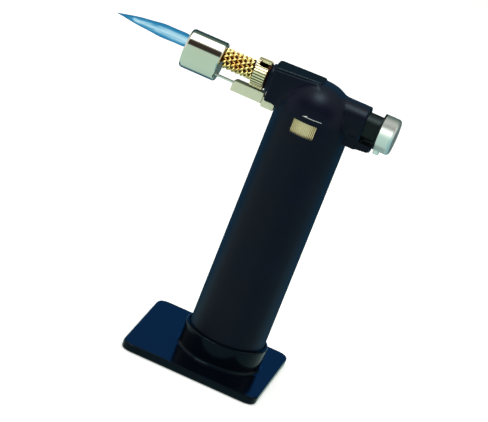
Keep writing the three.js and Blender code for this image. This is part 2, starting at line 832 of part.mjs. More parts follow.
function airRing() {
  const { left, right, r, bore, grooves, grooveDepth } = AIR_RING;
  const section = new THREE.Shape();
  const pitch = (2 * Math.PI) / grooves;
  for (let i = 0; i < grooves; i += 1) {
    for (const [at, radius] of [
      [0, r],
      [0.62, r],
      [0.72, r - grooveDepth],
      [0.9, r - grooveDepth],
    ]) {
      const angle = pitch * (i + at);
      const [x, y] = [radius * Math.cos(angle), radius * Math.sin(angle)];
      if (i === 0 && at === 0) section.moveTo(x, y);
      else section.lineTo(x, y);
    }
  }
  section.closePath();
  const knurled = new THREE.ExtrudeGeometry(section, { depth: right - left, bevelEnabled: false });
  knurled.rotateY(Math.PI / 2);
  knurled.translate(left, 0, 0);
  return solid(knurled)
    .subtract(rod(bore, -REACH, 0, "x", MEDIUM))
    .subtract(airSlot(right - AIR_SLOT.length, right + 1, AIR_SLOT.width));
}

function mixingChamber() {
  const [left, right] = [AIR_RING.left, NECK.left + 1];
  const endWall = 1;
  const r = AIR_RING.bore - RUNNING_GAP;
  const inner = r - 1.3;
  const tubeBore = BURNER_TUBE.r + SEAT_GAP;
  const neckBore = NECK.r + SEAT_GAP;
  const shell = turned(
    [
      [tubeBore, left],
      [r, left],
      [r, right],
      [neckBore, right],
      [neckBore, NECK.left],
      [inner, NECK.left - 0.4],
      [inner, left + endWall],
      [tubeBore, left + endWall],
    ],
    "x",
  );
  const inlets = 4;
  const inlet = airSlot(left + 1.6, NECK.left - 0.5, AIR_SLOT.width + 1);
  return Array.from({ length: inlets }, (_, i) => (360 * i) / inlets).reduce(
    (cut, turn) => cut.subtract(inlet.rotate([turn, 0, 0])),
    shell,
  );
}

function burnerNeck() {
  const { left, right, r, flangeR, flangeThick, tailR } = NECK;
  const innerFace = BLOCK.left + BLOCK.wall + SEAT_GAP;
  const jetBore = GAS_JET.r + RUNNING_GAP;
  return turned(
    [
      [jetBore, left],
      [r, left],
      [r, innerFace],
      [flangeR, innerFace],
      [flangeR, innerFace + flangeThick],
      [tailR, innerFace + flangeThick],
      [tailR, right],
      [GAS_INLET_R, right],
      [GAS_INLET_R, left + 2.4],
      [jetBore, left + 2.4],
    ],
    "x",
    COARSE,
  );
}

function gasJet() {
  const { left, right, r, bore, orifice } = GAS_JET;
  const tipR = 0.8;
  return turned(
    [
      [orifice, left],
      [tipR, left],
      [r, left + tipR],
      [r, right],
      [bore, right],
      [bore, left + 1],
      [orifice, left + 1],
    ],
    "x",
    COARSE,
  );
}

// ---------------------------------------------------------------- electrode, about its own axis

function electrodeRod() {
  const { rear, front, tipRise, bend, r } = ELECTRODE;
  const [start, corner] = [new THREE.Vector3(rear, 0, 0), new THREE.Vector3(front, 0, 0)];
  const [before, after] = [new THREE.Vector3(front + bend, 0, 0), new THREE.Vector3(front, 0, bend)];
  const line = new THREE.CurvePath();
  line.add(new THREE.LineCurve3(start, before));
  line.add(new THREE.QuadraticBezierCurve3(before, corner, after));
  line.add(new THREE.LineCurve3(after, new THREE.Vector3(front, 0, tipRise)));
  return swept(line, r, { steps: 20, sides: 8 });
}

function electrodeCover() {
  const { left, right, halfDepth, bottom, top } = ELECTRODE_COVER;
  const chamfer = 1.1;
  const innerChamfer = chamfer - 0.3;
  const edge = 0.4;
  const outside = profile(
    [
      [left, bottom + edge],
      [left + edge, bottom],
      [right, bottom],
      [right, top],
      [left + chamfer, top],
      [left, top - chamfer],
    ],
    -halfDepth,
    halfDepth,
  );
  const inside = profile(
    [
      [left + SHEET, bottom + SHEET],
      [right + 1, bottom + SHEET],
      [right + 1, top - SHEET],
      [left + SHEET + innerChamfer, top - SHEET],
      [left + SHEET, top - SHEET - innerChamfer],
    ],
    -halfDepth + SHEET,
    halfDepth - SHEET,
  );
  const rodHole = rod(ELECTRODE.r + 0.15, left - 1, left + 2, "x").translate([0, 0, ELECTRODE_Z]);
  return outside.subtract(inside).subtract(rodHole);
}

function leadCover() {
  const { left, right, halfDepth, bottom } = LEAD_COVER;
  const y = halfDepth - SHEET;
  const outside = block([left, right], [-halfDepth, halfDepth], [bottom, BLOCK.bottom]);
  const channel = block([left - 1, right + 1], [-y, y], [bottom + SHEET, BLOCK.bottom + 1]);
  return outside.subtract(channel);
}

// ---------------------------------------------------------------- ignition button, about its own axis

function buttonPlunger() {
  const { left, right, r, bore, flangeR, flangeThick } = PLUNGER;
  const endWall = 0.9;
  const end = right + flangeThick;
  const tube = turned(
    [
      [bore, left],
      [r, left],
      [r, right],
      [flangeR, right],
      [flangeR, end],
      [CAP.stemR + RUNNING_GAP, end],
      [CAP.stemR + RUNNING_GAP, right - endWall],
      [bore, right - endWall],
    ],
    "x",
  );
  // The ramped finger that presses the valve lever down as the button goes in.
  const back = LEVER.yTo - 0.2;
  const finger = profile(
    [
      [FINGER.left, FINGER.top],
      [FINGER.left, FINGER.tipBottom],
      [FINGER.right, FINGER.rootBottom],
      [FINGER.right, FINGER.top],
    ],
    LEVER.yFrom,
    back,
  );
  const fingerRoot = block([left, FINGER.right], [FINGER.rootY, back], [-3, FINGER.top]);
  // The tube is cut away under the finger, where the lever's tail swings.
  const leverRelief = block([left - 1, left + 2], [-6, -2.4], [-r - 1, -3]);
  // Its lower wall is cut back too, so that it passes over the gas wheel.
  const overWheel = WHEEL.top - BUTTON_Z + 0.3;
  const wheelRelief = block([left - 1, left + 2], [-r, r], [-r - 1, overWheel]);
  return tube.subtract(leverRelief).subtract(wheelRelief).add(finger).add(fingerRoot);
}

function buttonCap() {
  const { left, right, r, edgeR, stemR, stemLeft } = CAP;
  const body = turned(
    [
      [0, stemLeft],
      [stemR, stemLeft],
      [stemR, CAP_GROOVE.left],
      [CAP_GROOVE.r, CAP_GROOVE.left],
      [CAP_GROOVE.r, CAP_GROOVE.right],
      [stemR, CAP_GROOVE.right],
      [stemR, left],
      [r, left],
      ...arc(r - edgeR, right - edgeR, edgeR, 0, 90, 4),
      [0, right],
    ],
    "x",
    MEDIUM,
  );
  const nub = block(
    [left, left + NUB.length],
    [-NUB.halfWidth, NUB.halfWidth],
    [-NUB.tipR, -CAP.r + 1],
  );
  return body.add(nub);
}

function capClip() {
  const { left, right, r } = CAP_GROOVE;
  return ring(r + RUNNING_GAP, 3.5, left + SEAT_GAP, right - SEAT_GAP, "x", COARSE);
}

function piezoCase() {
  const { left, right, halfDepth, halfHeight, sideWall, endWall } = PIEZO;
  const [y, z] = [halfDepth - sideWall, halfHeight - sideWall];
  const outside = block([left, right], [-halfDepth, halfDepth], [-halfHeight, halfHeight]);
  return outside.subtract(block([left + endWall, right + 1], [-y, y], [-z, z]));
}

function piezoSlider() {
  const { left, halfDepth, halfHeight } = SLIDER;
  return block([left, CAP.stemLeft - 0.4], [-halfDepth, halfDepth], [-halfHeight, halfHeight]);
}

// ---------------------------------------------------------------- assembly

const root = new THREE.Group();

function groupAt(parent, x, y, z) {
  const group = new THREE.Group();
  group.position.set(x, y, z);
  parent.add(group);
  return group;
}

const stand = groupAt(root, 0, 0, 0);
part(stand, "stand_base", standBase(), standNavy);

const torch = groupAt(root, 0, 0, 0);
casing(torch);
for (const screw of SCREWS) part(torch, screw.name, casingScrew(screw), steel);
part(torch, "base_cap", baseCap(), casingBlack);
const badgePlate = plate(badgeOutline(0), BADGE.thick, BADGE.bevel);
part(torch, "name_badge", onBadgeSeat(badgePlate, SEAT_GAP), badgeBlack);

part(torch, "fuel_tank", fuelTank(), nylon);
part(torch, "tank_cap", tankCap(), nylon);
part(torch, "filler_body", fillerBody(), brass);
part(torch, "filler_stem", fillerStem(), brass);
part(torch, "filler_spring", spring(...FILLER_SPRING), steel);
const fillerSealZ = TANK.bottom + TANK.floor + O_RING_R + SEAT_GAP;
part(torch, "filler_seal", oRing(3.9, O_RING_R, fillerSealZ), sealRubber);

const valve = groupAt(torch, VALVE.x, VALVE.y, 0);
part(valve, "gas_valve", gasValveBody(), brass);
part(valve, "valve_seal", oRing(4.3, O_RING_R, TANK_CAP.flangeTop - 0.6), sealRubber);
part(valve, "gas_wheel", gasWheel(), champagne);
part(valve, "gas_nozzle", gasNozzle(), brass);
part(valve, "nozzle_clip", nozzleClip(), steel);
part(valve, "valve_spring", spring(...VALVE_SPRING), steel);
part(valve, "fuel_wick", rod(WICK.r, WICK.bottom, WICK.top), felt);

part(torch, "valve_lever", valveLever(), steel);
const { pinR, pivotX, pivotZ, pinBack, yTo } = LEVER;
part(torch, "lever_pin", crossRod(pinR, pivotX, pivotZ, pinBack, yTo + 0.15), steel);

const hosePath = through([
  [VALVE.x, VALVE.y, NOZZLE.top + 0.7],
  [VALVE.x - 1, VALVE.y + 0.2, NOZZLE.top + 2.2],
  [-8, -1.6, BURNER_Z - 0.2],
  [-12, -0.2, BURNER_Z],
  [NECK.right + 0.3, 0, BURNER_Z],
]);
part(torch, "gas_hose", swept(hosePath, 1.3, { bore: 0.7, steps: 12 }), hoseBlack);

const burner = groupAt(torch, 0, 0, BURNER_Z);
part(burner, "barrel", barrel(), nickel);
part(burner, "flame_holder", flameHolder(), brass);
const tubeRing = ring(BURNER_TUBE.bore, BURNER_TUBE.r, BURNER_TUBE.left, BURNER_TUBE.right, "x");
part(burner, "burner_tube", tubeRing, brass);
part(burner, "cooling_coil", coolingCoil(), goldWire);
part(burner, "air_ring", airRing(), champagne);
part(burner, "mixing_chamber", mixingChamber(), brass);
part(burner, "burner_neck", burnerNeck(), brass);
part(burner, "gas_jet", gasJet(), brass);

const electrode = groupAt(torch, 0, 0, ELECTRODE_Z);
part(electrode, "electrode_rod", electrodeRod(), steel);
const insulator = ring(INSULATOR.bore, INSULATOR.r, INSULATOR.left, INSULATOR.right, "x");
part(electrode, "electrode_insulator", insulator, ceramic);
part(torch, "electrode_cover", electrodeCover(), coverSheet);
part(torch, "lead_cover", leadCover(), coverSheet);
const leadPath = through([
  [-25.2, 0, ELECTRODE_Z],
  [-24.3, 0, ELECTRODE_Z - 0.6],
  [-22, 0, 123.6],
  [-17.5, 0, 123.55],
  [-14.9, 0, 125],
  [-14.2, 0.4, 128.4],
  [-9, 2.4, 130],
  [-2, 1, BUTTON_Z],
  [PIEZO.left - 0.3, 0, BUTTON_Z],
]);
part(torch, "ignition_lead", swept(leadPath, LEAD_R, { steps: 28, sides: 6 }), leadRed);

const button = groupAt(torch, 0, 0, BUTTON_Z);
part(button, "piezo_case", piezoCase(), igniterGrey);
part(button, "piezo_slider", piezoSlider(), igniterGrey);
part(button, "button_plunger", buttonPlunger(), buttonBlack);
part(button, "return_spring", spring(...RETURN_SPRING, "x"), steel);
part(button, "button_cap", buttonCap(), satinSilver);
part(button, "cap_clip", capClip(), steel);

export default root;
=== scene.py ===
"""The butane torch's looks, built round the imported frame.

Shapes are made in millimetres as (points, faces) and become metres when they turn into a piece.
The burner points along -X, the ignition button along +X and the gas wheel's window faces -Y.
"""

import math
from itertools import product

import bmesh
import bpy
import numpy as np
from mathutils import Matrix, Vector


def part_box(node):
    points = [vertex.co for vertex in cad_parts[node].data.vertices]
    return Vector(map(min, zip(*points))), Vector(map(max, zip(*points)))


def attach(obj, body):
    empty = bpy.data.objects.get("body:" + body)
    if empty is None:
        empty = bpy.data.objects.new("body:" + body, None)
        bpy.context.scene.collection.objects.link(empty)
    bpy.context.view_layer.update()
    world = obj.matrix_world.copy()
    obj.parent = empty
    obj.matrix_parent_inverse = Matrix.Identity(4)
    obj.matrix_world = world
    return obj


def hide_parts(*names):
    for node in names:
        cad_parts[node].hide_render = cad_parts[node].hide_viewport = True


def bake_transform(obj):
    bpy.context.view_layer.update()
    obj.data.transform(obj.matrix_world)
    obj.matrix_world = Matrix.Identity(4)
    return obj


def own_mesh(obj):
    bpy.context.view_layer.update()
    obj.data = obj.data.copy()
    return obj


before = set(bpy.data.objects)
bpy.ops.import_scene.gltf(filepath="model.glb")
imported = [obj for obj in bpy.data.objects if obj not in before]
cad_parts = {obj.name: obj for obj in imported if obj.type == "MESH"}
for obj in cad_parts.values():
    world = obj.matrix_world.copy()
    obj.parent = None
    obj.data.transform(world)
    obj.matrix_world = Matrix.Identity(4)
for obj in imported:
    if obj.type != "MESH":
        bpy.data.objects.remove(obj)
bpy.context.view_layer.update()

MM = 0.001


def span(node):
    """Lowest and highest corner of a CAD node, in millimetres."""
    low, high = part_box(node)
    return np.array(low) / MM, np.array(high) / MM


def add_object(name, data):
    obj = bpy.data.objects.new(name, data)
    bpy.context.scene.collection.objects.link(obj)
    return obj


def smooth(mesh, sharp=None):
    """Shades a mesh smooth, apart from the edges sharper than an angle in degrees."""
    mesh.polygons.foreach_set("use_smooth", [True] * len(mesh.polygons))
    if sharp is not None:
        mesh.set_sharp_from_angle(angle=math.radians(sharp))


# ---- shape helpers


def rectangle(x, y):
    return [(x[0], y[0]), (x[1], y[0]), (x[1], y[1]), (x[0], y[1])]


def skin_rings(rings, sides):
    """Faces that join rings of points one after another, and close both ends."""
    faces = []
    for ring in range(rings - 1):
        a, b = ring * sides, (ring + 1) * sides
        for k in range(sides):
            n = (k + 1) % sides
            faces.append([a + k, a + n, b + n, b + k])
    return [*faces, list(range(sides))[::-1], [(rings - 1) * sides + k for k in range(sides)]]


def fillet(outline, default=0.0, steps=4):
    """Rounds the corners of a closed outline. A corner may carry its own radius as a third number."""
    points = [np.array(corner[:2], float) for corner in outline]
    rounded = []
    for i, here in enumerate(points):
        radius = outline[i][2] if len(outline[i]) > 2 else default
        before, after = points[i - 1] - here, points[(i + 1) % len(points)] - here
        sides = np.linalg.norm(before), np.linalg.norm(after)
        if radius == 0 or min(sides) < 1e-9 or here[0] == 0 and len(outline[i]) < 3:
            rounded.append(here)
            continue
        before, after = before / sides[0], after / sides[1]
        half = math.acos(np.clip(before @ after, -1, 1)) / 2
        reach = min(radius / max(math.tan(half), 1e-6), 0.48 * min(sides))
        start, end = here + before * reach, here + after * reach
        for t in np.linspace(0, 1, steps + 1):
            rounded.append((1 - t) ** 2 * start + 2 * t * (1 - t) * here + t * t * end)
    return rounded


def turn(outline, axis="z", centre=(0, 0, 0), segments=96, flute=None):
    """Turns a [radius, height] outline about an axis. flute(angle, radius) gives a fluted radius."""
    angles = 2 * math.pi * np.arange(segments) / segments
    points, rings = [], []
    for radius, height in outline:
        if radius < 1e-6:
            rings.append([len(points)])
            points.append((0.0, 0.0, height))
            continue
        radii = flute(angles, radius) if flute else np.full(segments, radius)
        rings.append(list(range(len(points), len(points) + segments)))
        points += zip(radii * np.cos(angles), radii * np.sin(angles), np.full(segments, height))
    points = np.array(points)
    faces = []
    on_axis = len(rings[0]) == 1 and len(rings[-1]) == 1
    for a, b in zip(rings, rings[1:] if on_axis else rings[1:] + rings[:1]):
        for k in range(segments):
            n = (k + 1) % segments
            if len(a) > 1 and len(b) > 1:
                faces.append([a[k], a[n], b[n], b[k]])
            elif len(a) > 1:
                faces.append([a[k], a[n], b[0]])
            elif len(b) > 1:
                faces.append([a[0], b[n], b[k]])
    order = {"x": [2, 0, 1], "y": [1, 2, 0], "z": [0, 1, 2]}[axis]
    return points[:, order] + np.array(centre), faces


def rod(radius, low, high, axis="z", centre=(0, 0, 0), edge=0.0, segments=48):
    return sleeve(0, radius, low, high, edge, axis, centre, segments)


def sleeve(bore, radius, low, high, edge, axis="z", centre=(0, 0, 0), segments=96):
    """A tube with rounded rims."""
    outline = fillet([(bore, low), (radius, low), (radius, high), (bore, high)], edge)
    return turn(outline, axis, centre, segments)


def inset(outline, distance):
    """An anticlockwise outline moved inwards by a distance."""
    before = outline - np.roll(outline, 1, axis=0)
    after = np.roll(outline, -1, axis=0) - outline
    normals = []
    for side in (before, after):
        side = side / np.linalg.norm(side, axis=1, keepdims=True)
        normals.append(np.stack([-side[:, 1], side[:, 0]], axis=1))
    share = 1 + np.sum(normals[0] * normals[1], axis=1, keepdims=True)
    return outline + distance * (normals[0] + normals[1]) / share


def prism(outline, low, high, axis="z", edge=0.0, steps=4):
    """A flat outline made thick along an axis, its rims rounded.

    The outline is XY, XZ for y or YZ for x.
    """
    flat = np.array(outline, float)
    area = np.sum(flat[:, 0] * np.roll(flat[:, 1], -1) - np.roll(flat[:, 0], -1) * flat[:, 1])
    if area < 0:
        flat = flat[::-1]
    layers = [(0, low), (0, high)]
    if edge > 0:
        turns = np.linspace(0, math.pi / 2, steps + 1)
        rim = [(edge * (1 - math.sin(t)), edge * (1 - math.cos(t))) for t in turns]
        layers = [(step, low + rise) for step, rise in rim]
        layers += [(step, high - rise) for step, rise in reversed(rim)]
    count = len(flat)
    points = []
    for step, height in layers:
        ring = inset(flat, step) if step else flat
        points.append(np.column_stack([ring, np.full(count, height)]))
    order = {"x": [2, 0, 1], "y": [0, 2, 1], "z": [0, 1, 2]}[axis]
    return np.concatenate(points)[:, order], skin_rings(len(layers), count)


def box(x, y, z, edge=0.0):
    return prism(fillet(rectangle(x, y), edge), z[0], z[1], edge=edge)


def sweep(path, radius, sides=10):
    """A round section swept along a path, closed at both ends. radius may be one number or one per point."""
    path = np.array(path, float)
    radii = np.broadcast_to(radius, len(path))
    tangents = np.gradient(path, axis=0)
    tangents /= np.linalg.norm(tangents, axis=1, keepdims=True)
    side = np.cross(tangents[0], (0.3, 0.5, 0.8))
    turns = 2 * math.pi * np.arange(sides) / sides
    points = []
    for i, (place, tangent) in enumerate(zip(path, tangents)):
        side = side - tangent * (side @ tangent)
        side /= np.linalg.norm(side)
        other = np.cross(tangent, side)
        for t in turns:
            points.append(place + radii[i] * (math.cos(t) * side + math.sin(t) * other))
    return np.array(points), skin_rings(len(path), sides)


def smooth_path(knots, steps=10):
    """A Catmull-Rom curve through the knots."""
    knots = np.array([knots[0], *knots, knots[-1]], float)
    path = []
    for a, b, c, d in zip(knots, knots[1:], knots[2:], knots[3:]):
        for t in np.arange(steps) / steps:
            bend = 2 * b + (c - a) * t + (2 * a - 5 * b + 4 * c - d) * t**2
            path.append((bend + (3 * b - a - 3 * c + d) * t**3) / 2)
    return [*path, knots[-1]]


def helix(radius, wire, low, high, turns, axis="z", centre=(0, 0, 0)):
    """A compression spring with closed end turns."""
    steps = int(turns * 20)
    t = np.linspace(0, 1, steps + 1)
    rise = np.interp(t, [0, 1 / turns, 1 - 1 / turns, 1], [0.0, 0.06, 0.94, 1.0])
    angle = 2 * math.pi * turns * t
    height = low + wire + (high - low - 2 * wire) * rise
    path = np.column_stack([radius * np.cos(angle), radius * np.sin(angle), height])
    order = {"x": [2, 0, 1], "z": [0, 1, 2]}[axis]
    return sweep(path[:, order] + np.array(centre), wire, 8)


def moved(shape, turn_y=0.0, turn_x=0.0, by=(0, 0, 0)):
    """The shape turned about X, then about Y, in degrees, then shifted."""
    about_y = Matrix.Rotation(math.radians(turn_y), 3, "Y")
    rotation = about_y @ Matrix.Rotation(math.radians(turn_x), 3, "X")
    return shape[0] @ np.array(rotation).T + np.array(by), shape[1]


def mesh_of(name, shape, scale=1.0):
    mesh = bpy.data.meshes.new(name)
    mesh.from_pydata((np.asarray(shape[0]) * scale).tolist(), [], shape[1])
    edit = bmesh.new()
    edit.from_mesh(mesh)
    bmesh.ops.recalc_face_normals(edit, faces=edit.faces)
    edit.to_mesh(mesh)
    edit.free()
    return mesh


def carve(shape, tools, operation="DIFFERENCE"):
    """The shape with the tools cut from it, joined to it, or kept only where they meet."""
    base = add_object("base", mesh_of("base", shape))
    cutters = []
    for tool in tools:
        cutter = add_object("cutter", mesh_of("cutter", tool))
        cutters.append(cutter)
        cut = base.modifiers.new("carve", "BOOLEAN")
        cut.operation = operation
        cut.object = cutter
        cut.solver = "MANIFOLD"
    result = base.evaluated_get(bpy.context.evaluated_depsgraph_get()).to_mesh()
    points = np.zeros(len(result.vertices) * 3)
    result.vertices.foreach_get("co", points)
    faces = [list(face.vertices) for face in result.polygons]
    for helper in (base, *cutters):
        bpy.data.objects.remove(helper)
    return points.reshape(-1, 3), faces


def join(shape, *others):
    return carve(shape, others, "UNION")


# ---- blended skins from distance fields


def smooth_min(a, b, blend):
    share = np.maximum(blend - np.abs(a - b), 0) / blend
    return np.minimum(a, b) - share * share * blend / 4


def smooth_max(a, b, blend):
    return -smooth_min(-a, -b, blend)


def surface_net(field, xs, ys, zs):
    """The closed surface where the field is zero, as quads with one point in each grid cell it crosses."""
    grid = [np.asarray(line, float) for line in (xs, ys, zs)]
    value = field(*np.meshgrid(*grid, indexing="ij"))
    inside = value < 0
    shape = np.array(value.shape) - 1
    corners = np.array(list(product((0, 1), repeat=3)))
    count = np.zeros(shape, int)
    for i, j, k in corners:
        count += inside[i : i + shape[0], j : j + shape[1], k : k + shape[2]]
    active = (count > 0) & (count < 8)
    cells = np.argwhere(active)
    index = np.full(active.shape, -1)
    index[active] = np.arange(len(cells))
    total, hits = np.zeros((len(cells), 3)), np.zeros((len(cells), 1))
    for a, b in product(corners, corners):
        if np.sum(b - a) != 1 or np.any(b < a):
            continue
        at_a, at_b = (cells + a).T, (cells + b).T
        value_a, value_b = value[tuple(at_a)], value[tuple(at_b)]
        crossed = (value_a < 0) != (value_b < 0)
        share = np.where(crossed, value_a / np.where(crossed, value_a - value_b, 1), 0)[:, None]
        place_a = np.stack([grid[d][at_a[d]] for d in range(3)], axis=1)
        place_b = np.stack([grid[d][at_b[d]] for d in range(3)], axis=1)
        total += crossed[:, None] * (place_a + share * (place_b - place_a))
        hits += crossed[:, None]
    points = settle(field, total / hits)
    faces = []
    for d in range(3):
        e, f = (d + 1) % 3, (d + 2) % 3
        low = [slice(None)] * 3
        high = [slice(None)] * 3
        low[d], high[d] = slice(0, -1), slice(1, None)
        changes = np.argwhere(inside[tuple(low)] != inside[tuple(high)])
        ring = []
        for step_e, step_f in ((-1, -1), (0, -1), (0, 0), (-1, 0)):
            cell = changes.copy()
            cell[:, e] += step_e
            cell[:, f] += step_f
            ring.append(index[tuple(cell.T)])
        quads = np.stack(ring, axis=1)
        outward = inside[tuple(changes.T)]
        faces += np.where(outward[:, None], quads, quads[:, ::-1]).tolist()
    return points, faces


def settle(field, points, rounds=3, reach=0.01, most=0.25):
    """Moves points along the field's slope onto its zero surface."""
    for _ in range(rounds):
        value = field(*points.T)
        rises = [field(*(points + step).T) - field(*(points - step).T) for step in reach * np.eye(3)]
        slope = np.stack([rise / (2 * reach) for rise in rises], axis=1)
        steepness = np.maximum(np.sum(slope**2, axis=1), 0.05)
        move = np.clip(value / steepness, -most, most)
        points = points - move[:, None] * slope
    return points


# ---- materials


def srgb(red, green, blue):
    """A colour given in 0-255 display values, as linear light."""

    def linear(value):
        value /= 255
        return value / 12.92 if value <= 0.04045 else ((value + 0.055) / 1.055) ** 2.4

    return linear(red), linear(green), linear(blue), 1.0


class Nodes:
    """Short calls for building a node tree."""

    def __init__(self, tree):
        self.tree = tree
        tree.nodes.clear()

    def add(self, kind, inputs=(), **settings):
        node = self.tree.nodes.new("ShaderNode" + kind)
        for name, value in settings.items():
            setattr(node, name, value)
        for name, value in dict(inputs).items():
            if isinstance(value, bpy.types.NodeSocket):
                self.tree.links.new(value, node.inputs[name])
            else:
                node.inputs[name].default_value = value
        return node

    def math(self, operation, *values):
        node = self.add("Math", operation=operation)
        for slot, value in zip(node.inputs, values):
            if isinstance(value, bpy.types.NodeSocket):
                self.tree.links.new(value, slot)
            else:
                slot.default_value = value
        return node.outputs[0]

    def mix(self, share, first, second):
        return self.add("Mix", {0: share, 6: first, 7: second}, data_type="RGBA").outputs[2]

    def noise(self, place, scale, detail=2.0):
        return self.add("TexNoise", {"Vector": place, "Scale": scale, "Detail": detail}).outputs["Fac"]

    def spread(self, value, low, high, start=0.3, end=0.7):
        inputs = {"Value": value, "From Min": start, "From Max": end, "To Min": low, "To Max": high}
        return self.add("MapRange", inputs).outputs[0]


def new_material(name):
    material = bpy.data.materials.new(name)
    material.use_nodes = True
    return material, Nodes(material.node_tree)


def ramp_of(nodes, value, places):
    """A colour ramp with a stop at each (position, colour)."""
    ramp = nodes.add("ValToRGB", {"Fac": value})
    stops = ramp.color_ramp.elements
    stops[0].position, stops[1].position = places[0][0], places[-1][0]
    for position, _ in places[1:-1]:
        stops.new(position)
    for stop, (_, colour) in zip(stops, places):
        stop.color = (*colour, 1)
    return ramp.outputs[0]


def shade(colour, factor):
    return tuple(min(1.0, part * factor) for part in colour[:3]) + (1.0,)


FINISHES = {}


def surface(name, colour, roughness, metallic=0.0, *, variation=0.15, blotch=60, grain=1800,
           relief=0.01, stretch=(1, 1, 1), uneven=0.15, specular=0.5, gleam=(1, 1, 1), tint=None,
           edge_colour=None, edge_colour_share=0.5, crevice_shade=None, rim=None):
    """Adds a finish with patches of slightly different colour and a fine grain in bump and roughness.

    The edge colour is laid patchily along its rounded edges; on the badge and the stand it is a painted
    highlight.
    The crevice colour is painted shade where ambient occlusion finds crevices, and the slant colour
    a painted rim reflection that takes over where the surface is seen at a slant.
    """
    material, nodes = new_material(name)
    place = nodes.add("TexCoord").outputs["Object"]
    patches = nodes.noise(place, blotch, 4.0)
    base = nodes.mix(
        nodes.spread(patches, 0, 1),
        shade(colour, 1 - variation),
        shade(colour, 1 + variation),
    )
    if tint is not None:
        drift = nodes.noise(place, blotch * 0.6)
        base = nodes.mix(nodes.spread(drift, 0, 0.8, 0.45, 0.75), base, tint)
    stretched = nodes.add("Mapping", {"Vector": place, "Scale": stretch}).outputs[0]
    fine = nodes.noise(stretched, grain, 3.0)
    rough = nodes.spread(fine, roughness * (1 - uneven), roughness * (1 + uneven))
    # Along the rounded edges the colour turns patchily to the edge colour; on the badge and the stand that is
    # a painted highlight.
    if edge_colour is not None:
        geometry = nodes.add("NewGeometry").outputs["Normal"]
        softened = nodes.add("Bevel", {"Radius": 0.35 * MM}, samples=6).outputs[0]
        facing = nodes.add("VectorMath", {0: geometry, 1: softened}, operation="DOT_PRODUCT").outputs["Value"]
        edge = nodes.spread(facing, edge_colour_share, 0, 0.9, 0.998)
        edge = nodes.math("MULTIPLY", edge, nodes.spread(patches, 0.3, 1))
        base = nodes.mix(edge, base, edge_colour)
    # Painted shade: the colour darkens towards the crevice colour where ambient occlusion finds crevices.
    if crevice_shade is not None:
        open_sky = nodes.add("AmbientOcclusion", {"Distance": 0.9 * MM}, samples=8).outputs["AO"]
        base = nodes.mix(nodes.spread(open_sky, 1, 0, 0.3, 0.9), base, crevice_shade)
    bump = nodes.add("Bump", {"Height": fine, "Strength": 1.0, "Distance": relief * MM}).outputs[0]
    shader = nodes.add(
        "BsdfPrincipled",
        {
            "Base Color": base,
            "Roughness": rough,
            "Metallic": metallic,
            "Normal": bump,
            "Specular IOR Level": specular,
            "Specular Tint": (*gleam, 1),
        },
    ).outputs[0]
    # Painted rim reflection: where the surface is seen at a slant, a flat colour takes over from the finish.
    if rim is not None:
        slant = nodes.add("LayerWeight", {"Blend": 0.5}).outputs["Facing"]
        matt = nodes.add("BsdfDiffuse", {"Color": (*rim, 1)}).outputs[0]
        share = nodes.spread(slant, 0, 0.85, 0.36, 0.72)
        shader = nodes.add("MixShader", {0: share, 1: shader, 2: matt}).outputs[0]
    nodes.add("OutputMaterial", {"Surface": shader})
    FINISHES[name] = material


ALONG_X = (1, 0.02, 0.02)  # stretches the grain into turning marks round an axis along X
BRUSHED_X = (0.02, 1, 1)  # stretches it into strokes along X

# The casing's navy at a slant is a painted rim reflection.
surface("casing_plastic", srgb(7, 8, 22), 0.38, grain=2600, relief=0.012, specular=0.14,
        gleam=(0.7, 0.85, 1), edge_colour=srgb(22, 27, 38), edge_colour_share=0.12, rim=(0.006, 0.026, 0.054),
        tint=srgb(5, 6, 27))
# The stand's lighter edges are a painted highlight.
surface("stand_plastic", srgb(3, 6, 14), 0.14, grain=420, relief=0.004, specular=0.13,
        gleam=(0.5, 0.8, 1), edge_colour=srgb(30, 48, 62), edge_colour_share=0.4, uneven=0.3)
# The badge's light edge line is a painted highlight.
surface("badge_plastic", srgb(6, 12, 24), 0.22, grain=900, relief=0.003, specular=0.22,
        gleam=(0.7, 0.9, 1), edge_colour=srgb(60, 84, 98), edge_colour_share=0.7)
surface("button_plastic", srgb(7, 10, 15), 0.42, grain=2600, relief=0.014, specular=0.2,
        gleam=(0.75, 1, 0.98), stretch=ALONG_X, edge_colour=srgb(40, 48, 52))
surface("nickel", srgb(214, 216, 205), 0.07, 1.0, grain=5200, relief=0.0012, stretch=ALONG_X,
        variation=0.03, tint=srgb(206, 206, 188), uneven=0.4)
surface("satin_silver", srgb(226, 230, 226), 0.4, 1.0, grain=6500, relief=0.003, stretch=ALONG_X,
        variation=0.05, blotch=90)
# Painted shade darkens the air ring's grooves.
surface("champagne", srgb(232, 222, 184), 0.34, 1.0, grain=3000, relief=0.004, variation=0.08,
        tint=srgb(206, 198, 156), crevice_shade=srgb(58, 56, 30))
# Painted shade darkens the gaps between the coil's loops.
surface("gold_wire", srgb(255, 236, 168), 0.28, 1.0, grain=3600, relief=0.004, variation=0.08,
        tint=srgb(244, 196, 104), blotch=240, crevice_shade=srgb(186, 100, 46))
surface("brass", srgb(158, 116, 60), 0.3, 1.0, grain=5200, relief=0.003, variation=0.1,
        tint=srgb(128, 76, 38), blotch=160)
surface("heated_brass", srgb(84, 42, 24), 0.4, 1.0, grain=5200, relief=0.003, variation=0.14,
        tint=srgb(62, 28, 18), blotch=200)
# A faint painted shade lies in the wheel's crevices.
surface("wheel_metal", srgb(240, 212, 170), 0.42, 1.0, grain=3000, relief=0.006, variation=0.1,
        tint=srgb(216, 188, 140), crevice_shade=srgb(210, 184, 140))
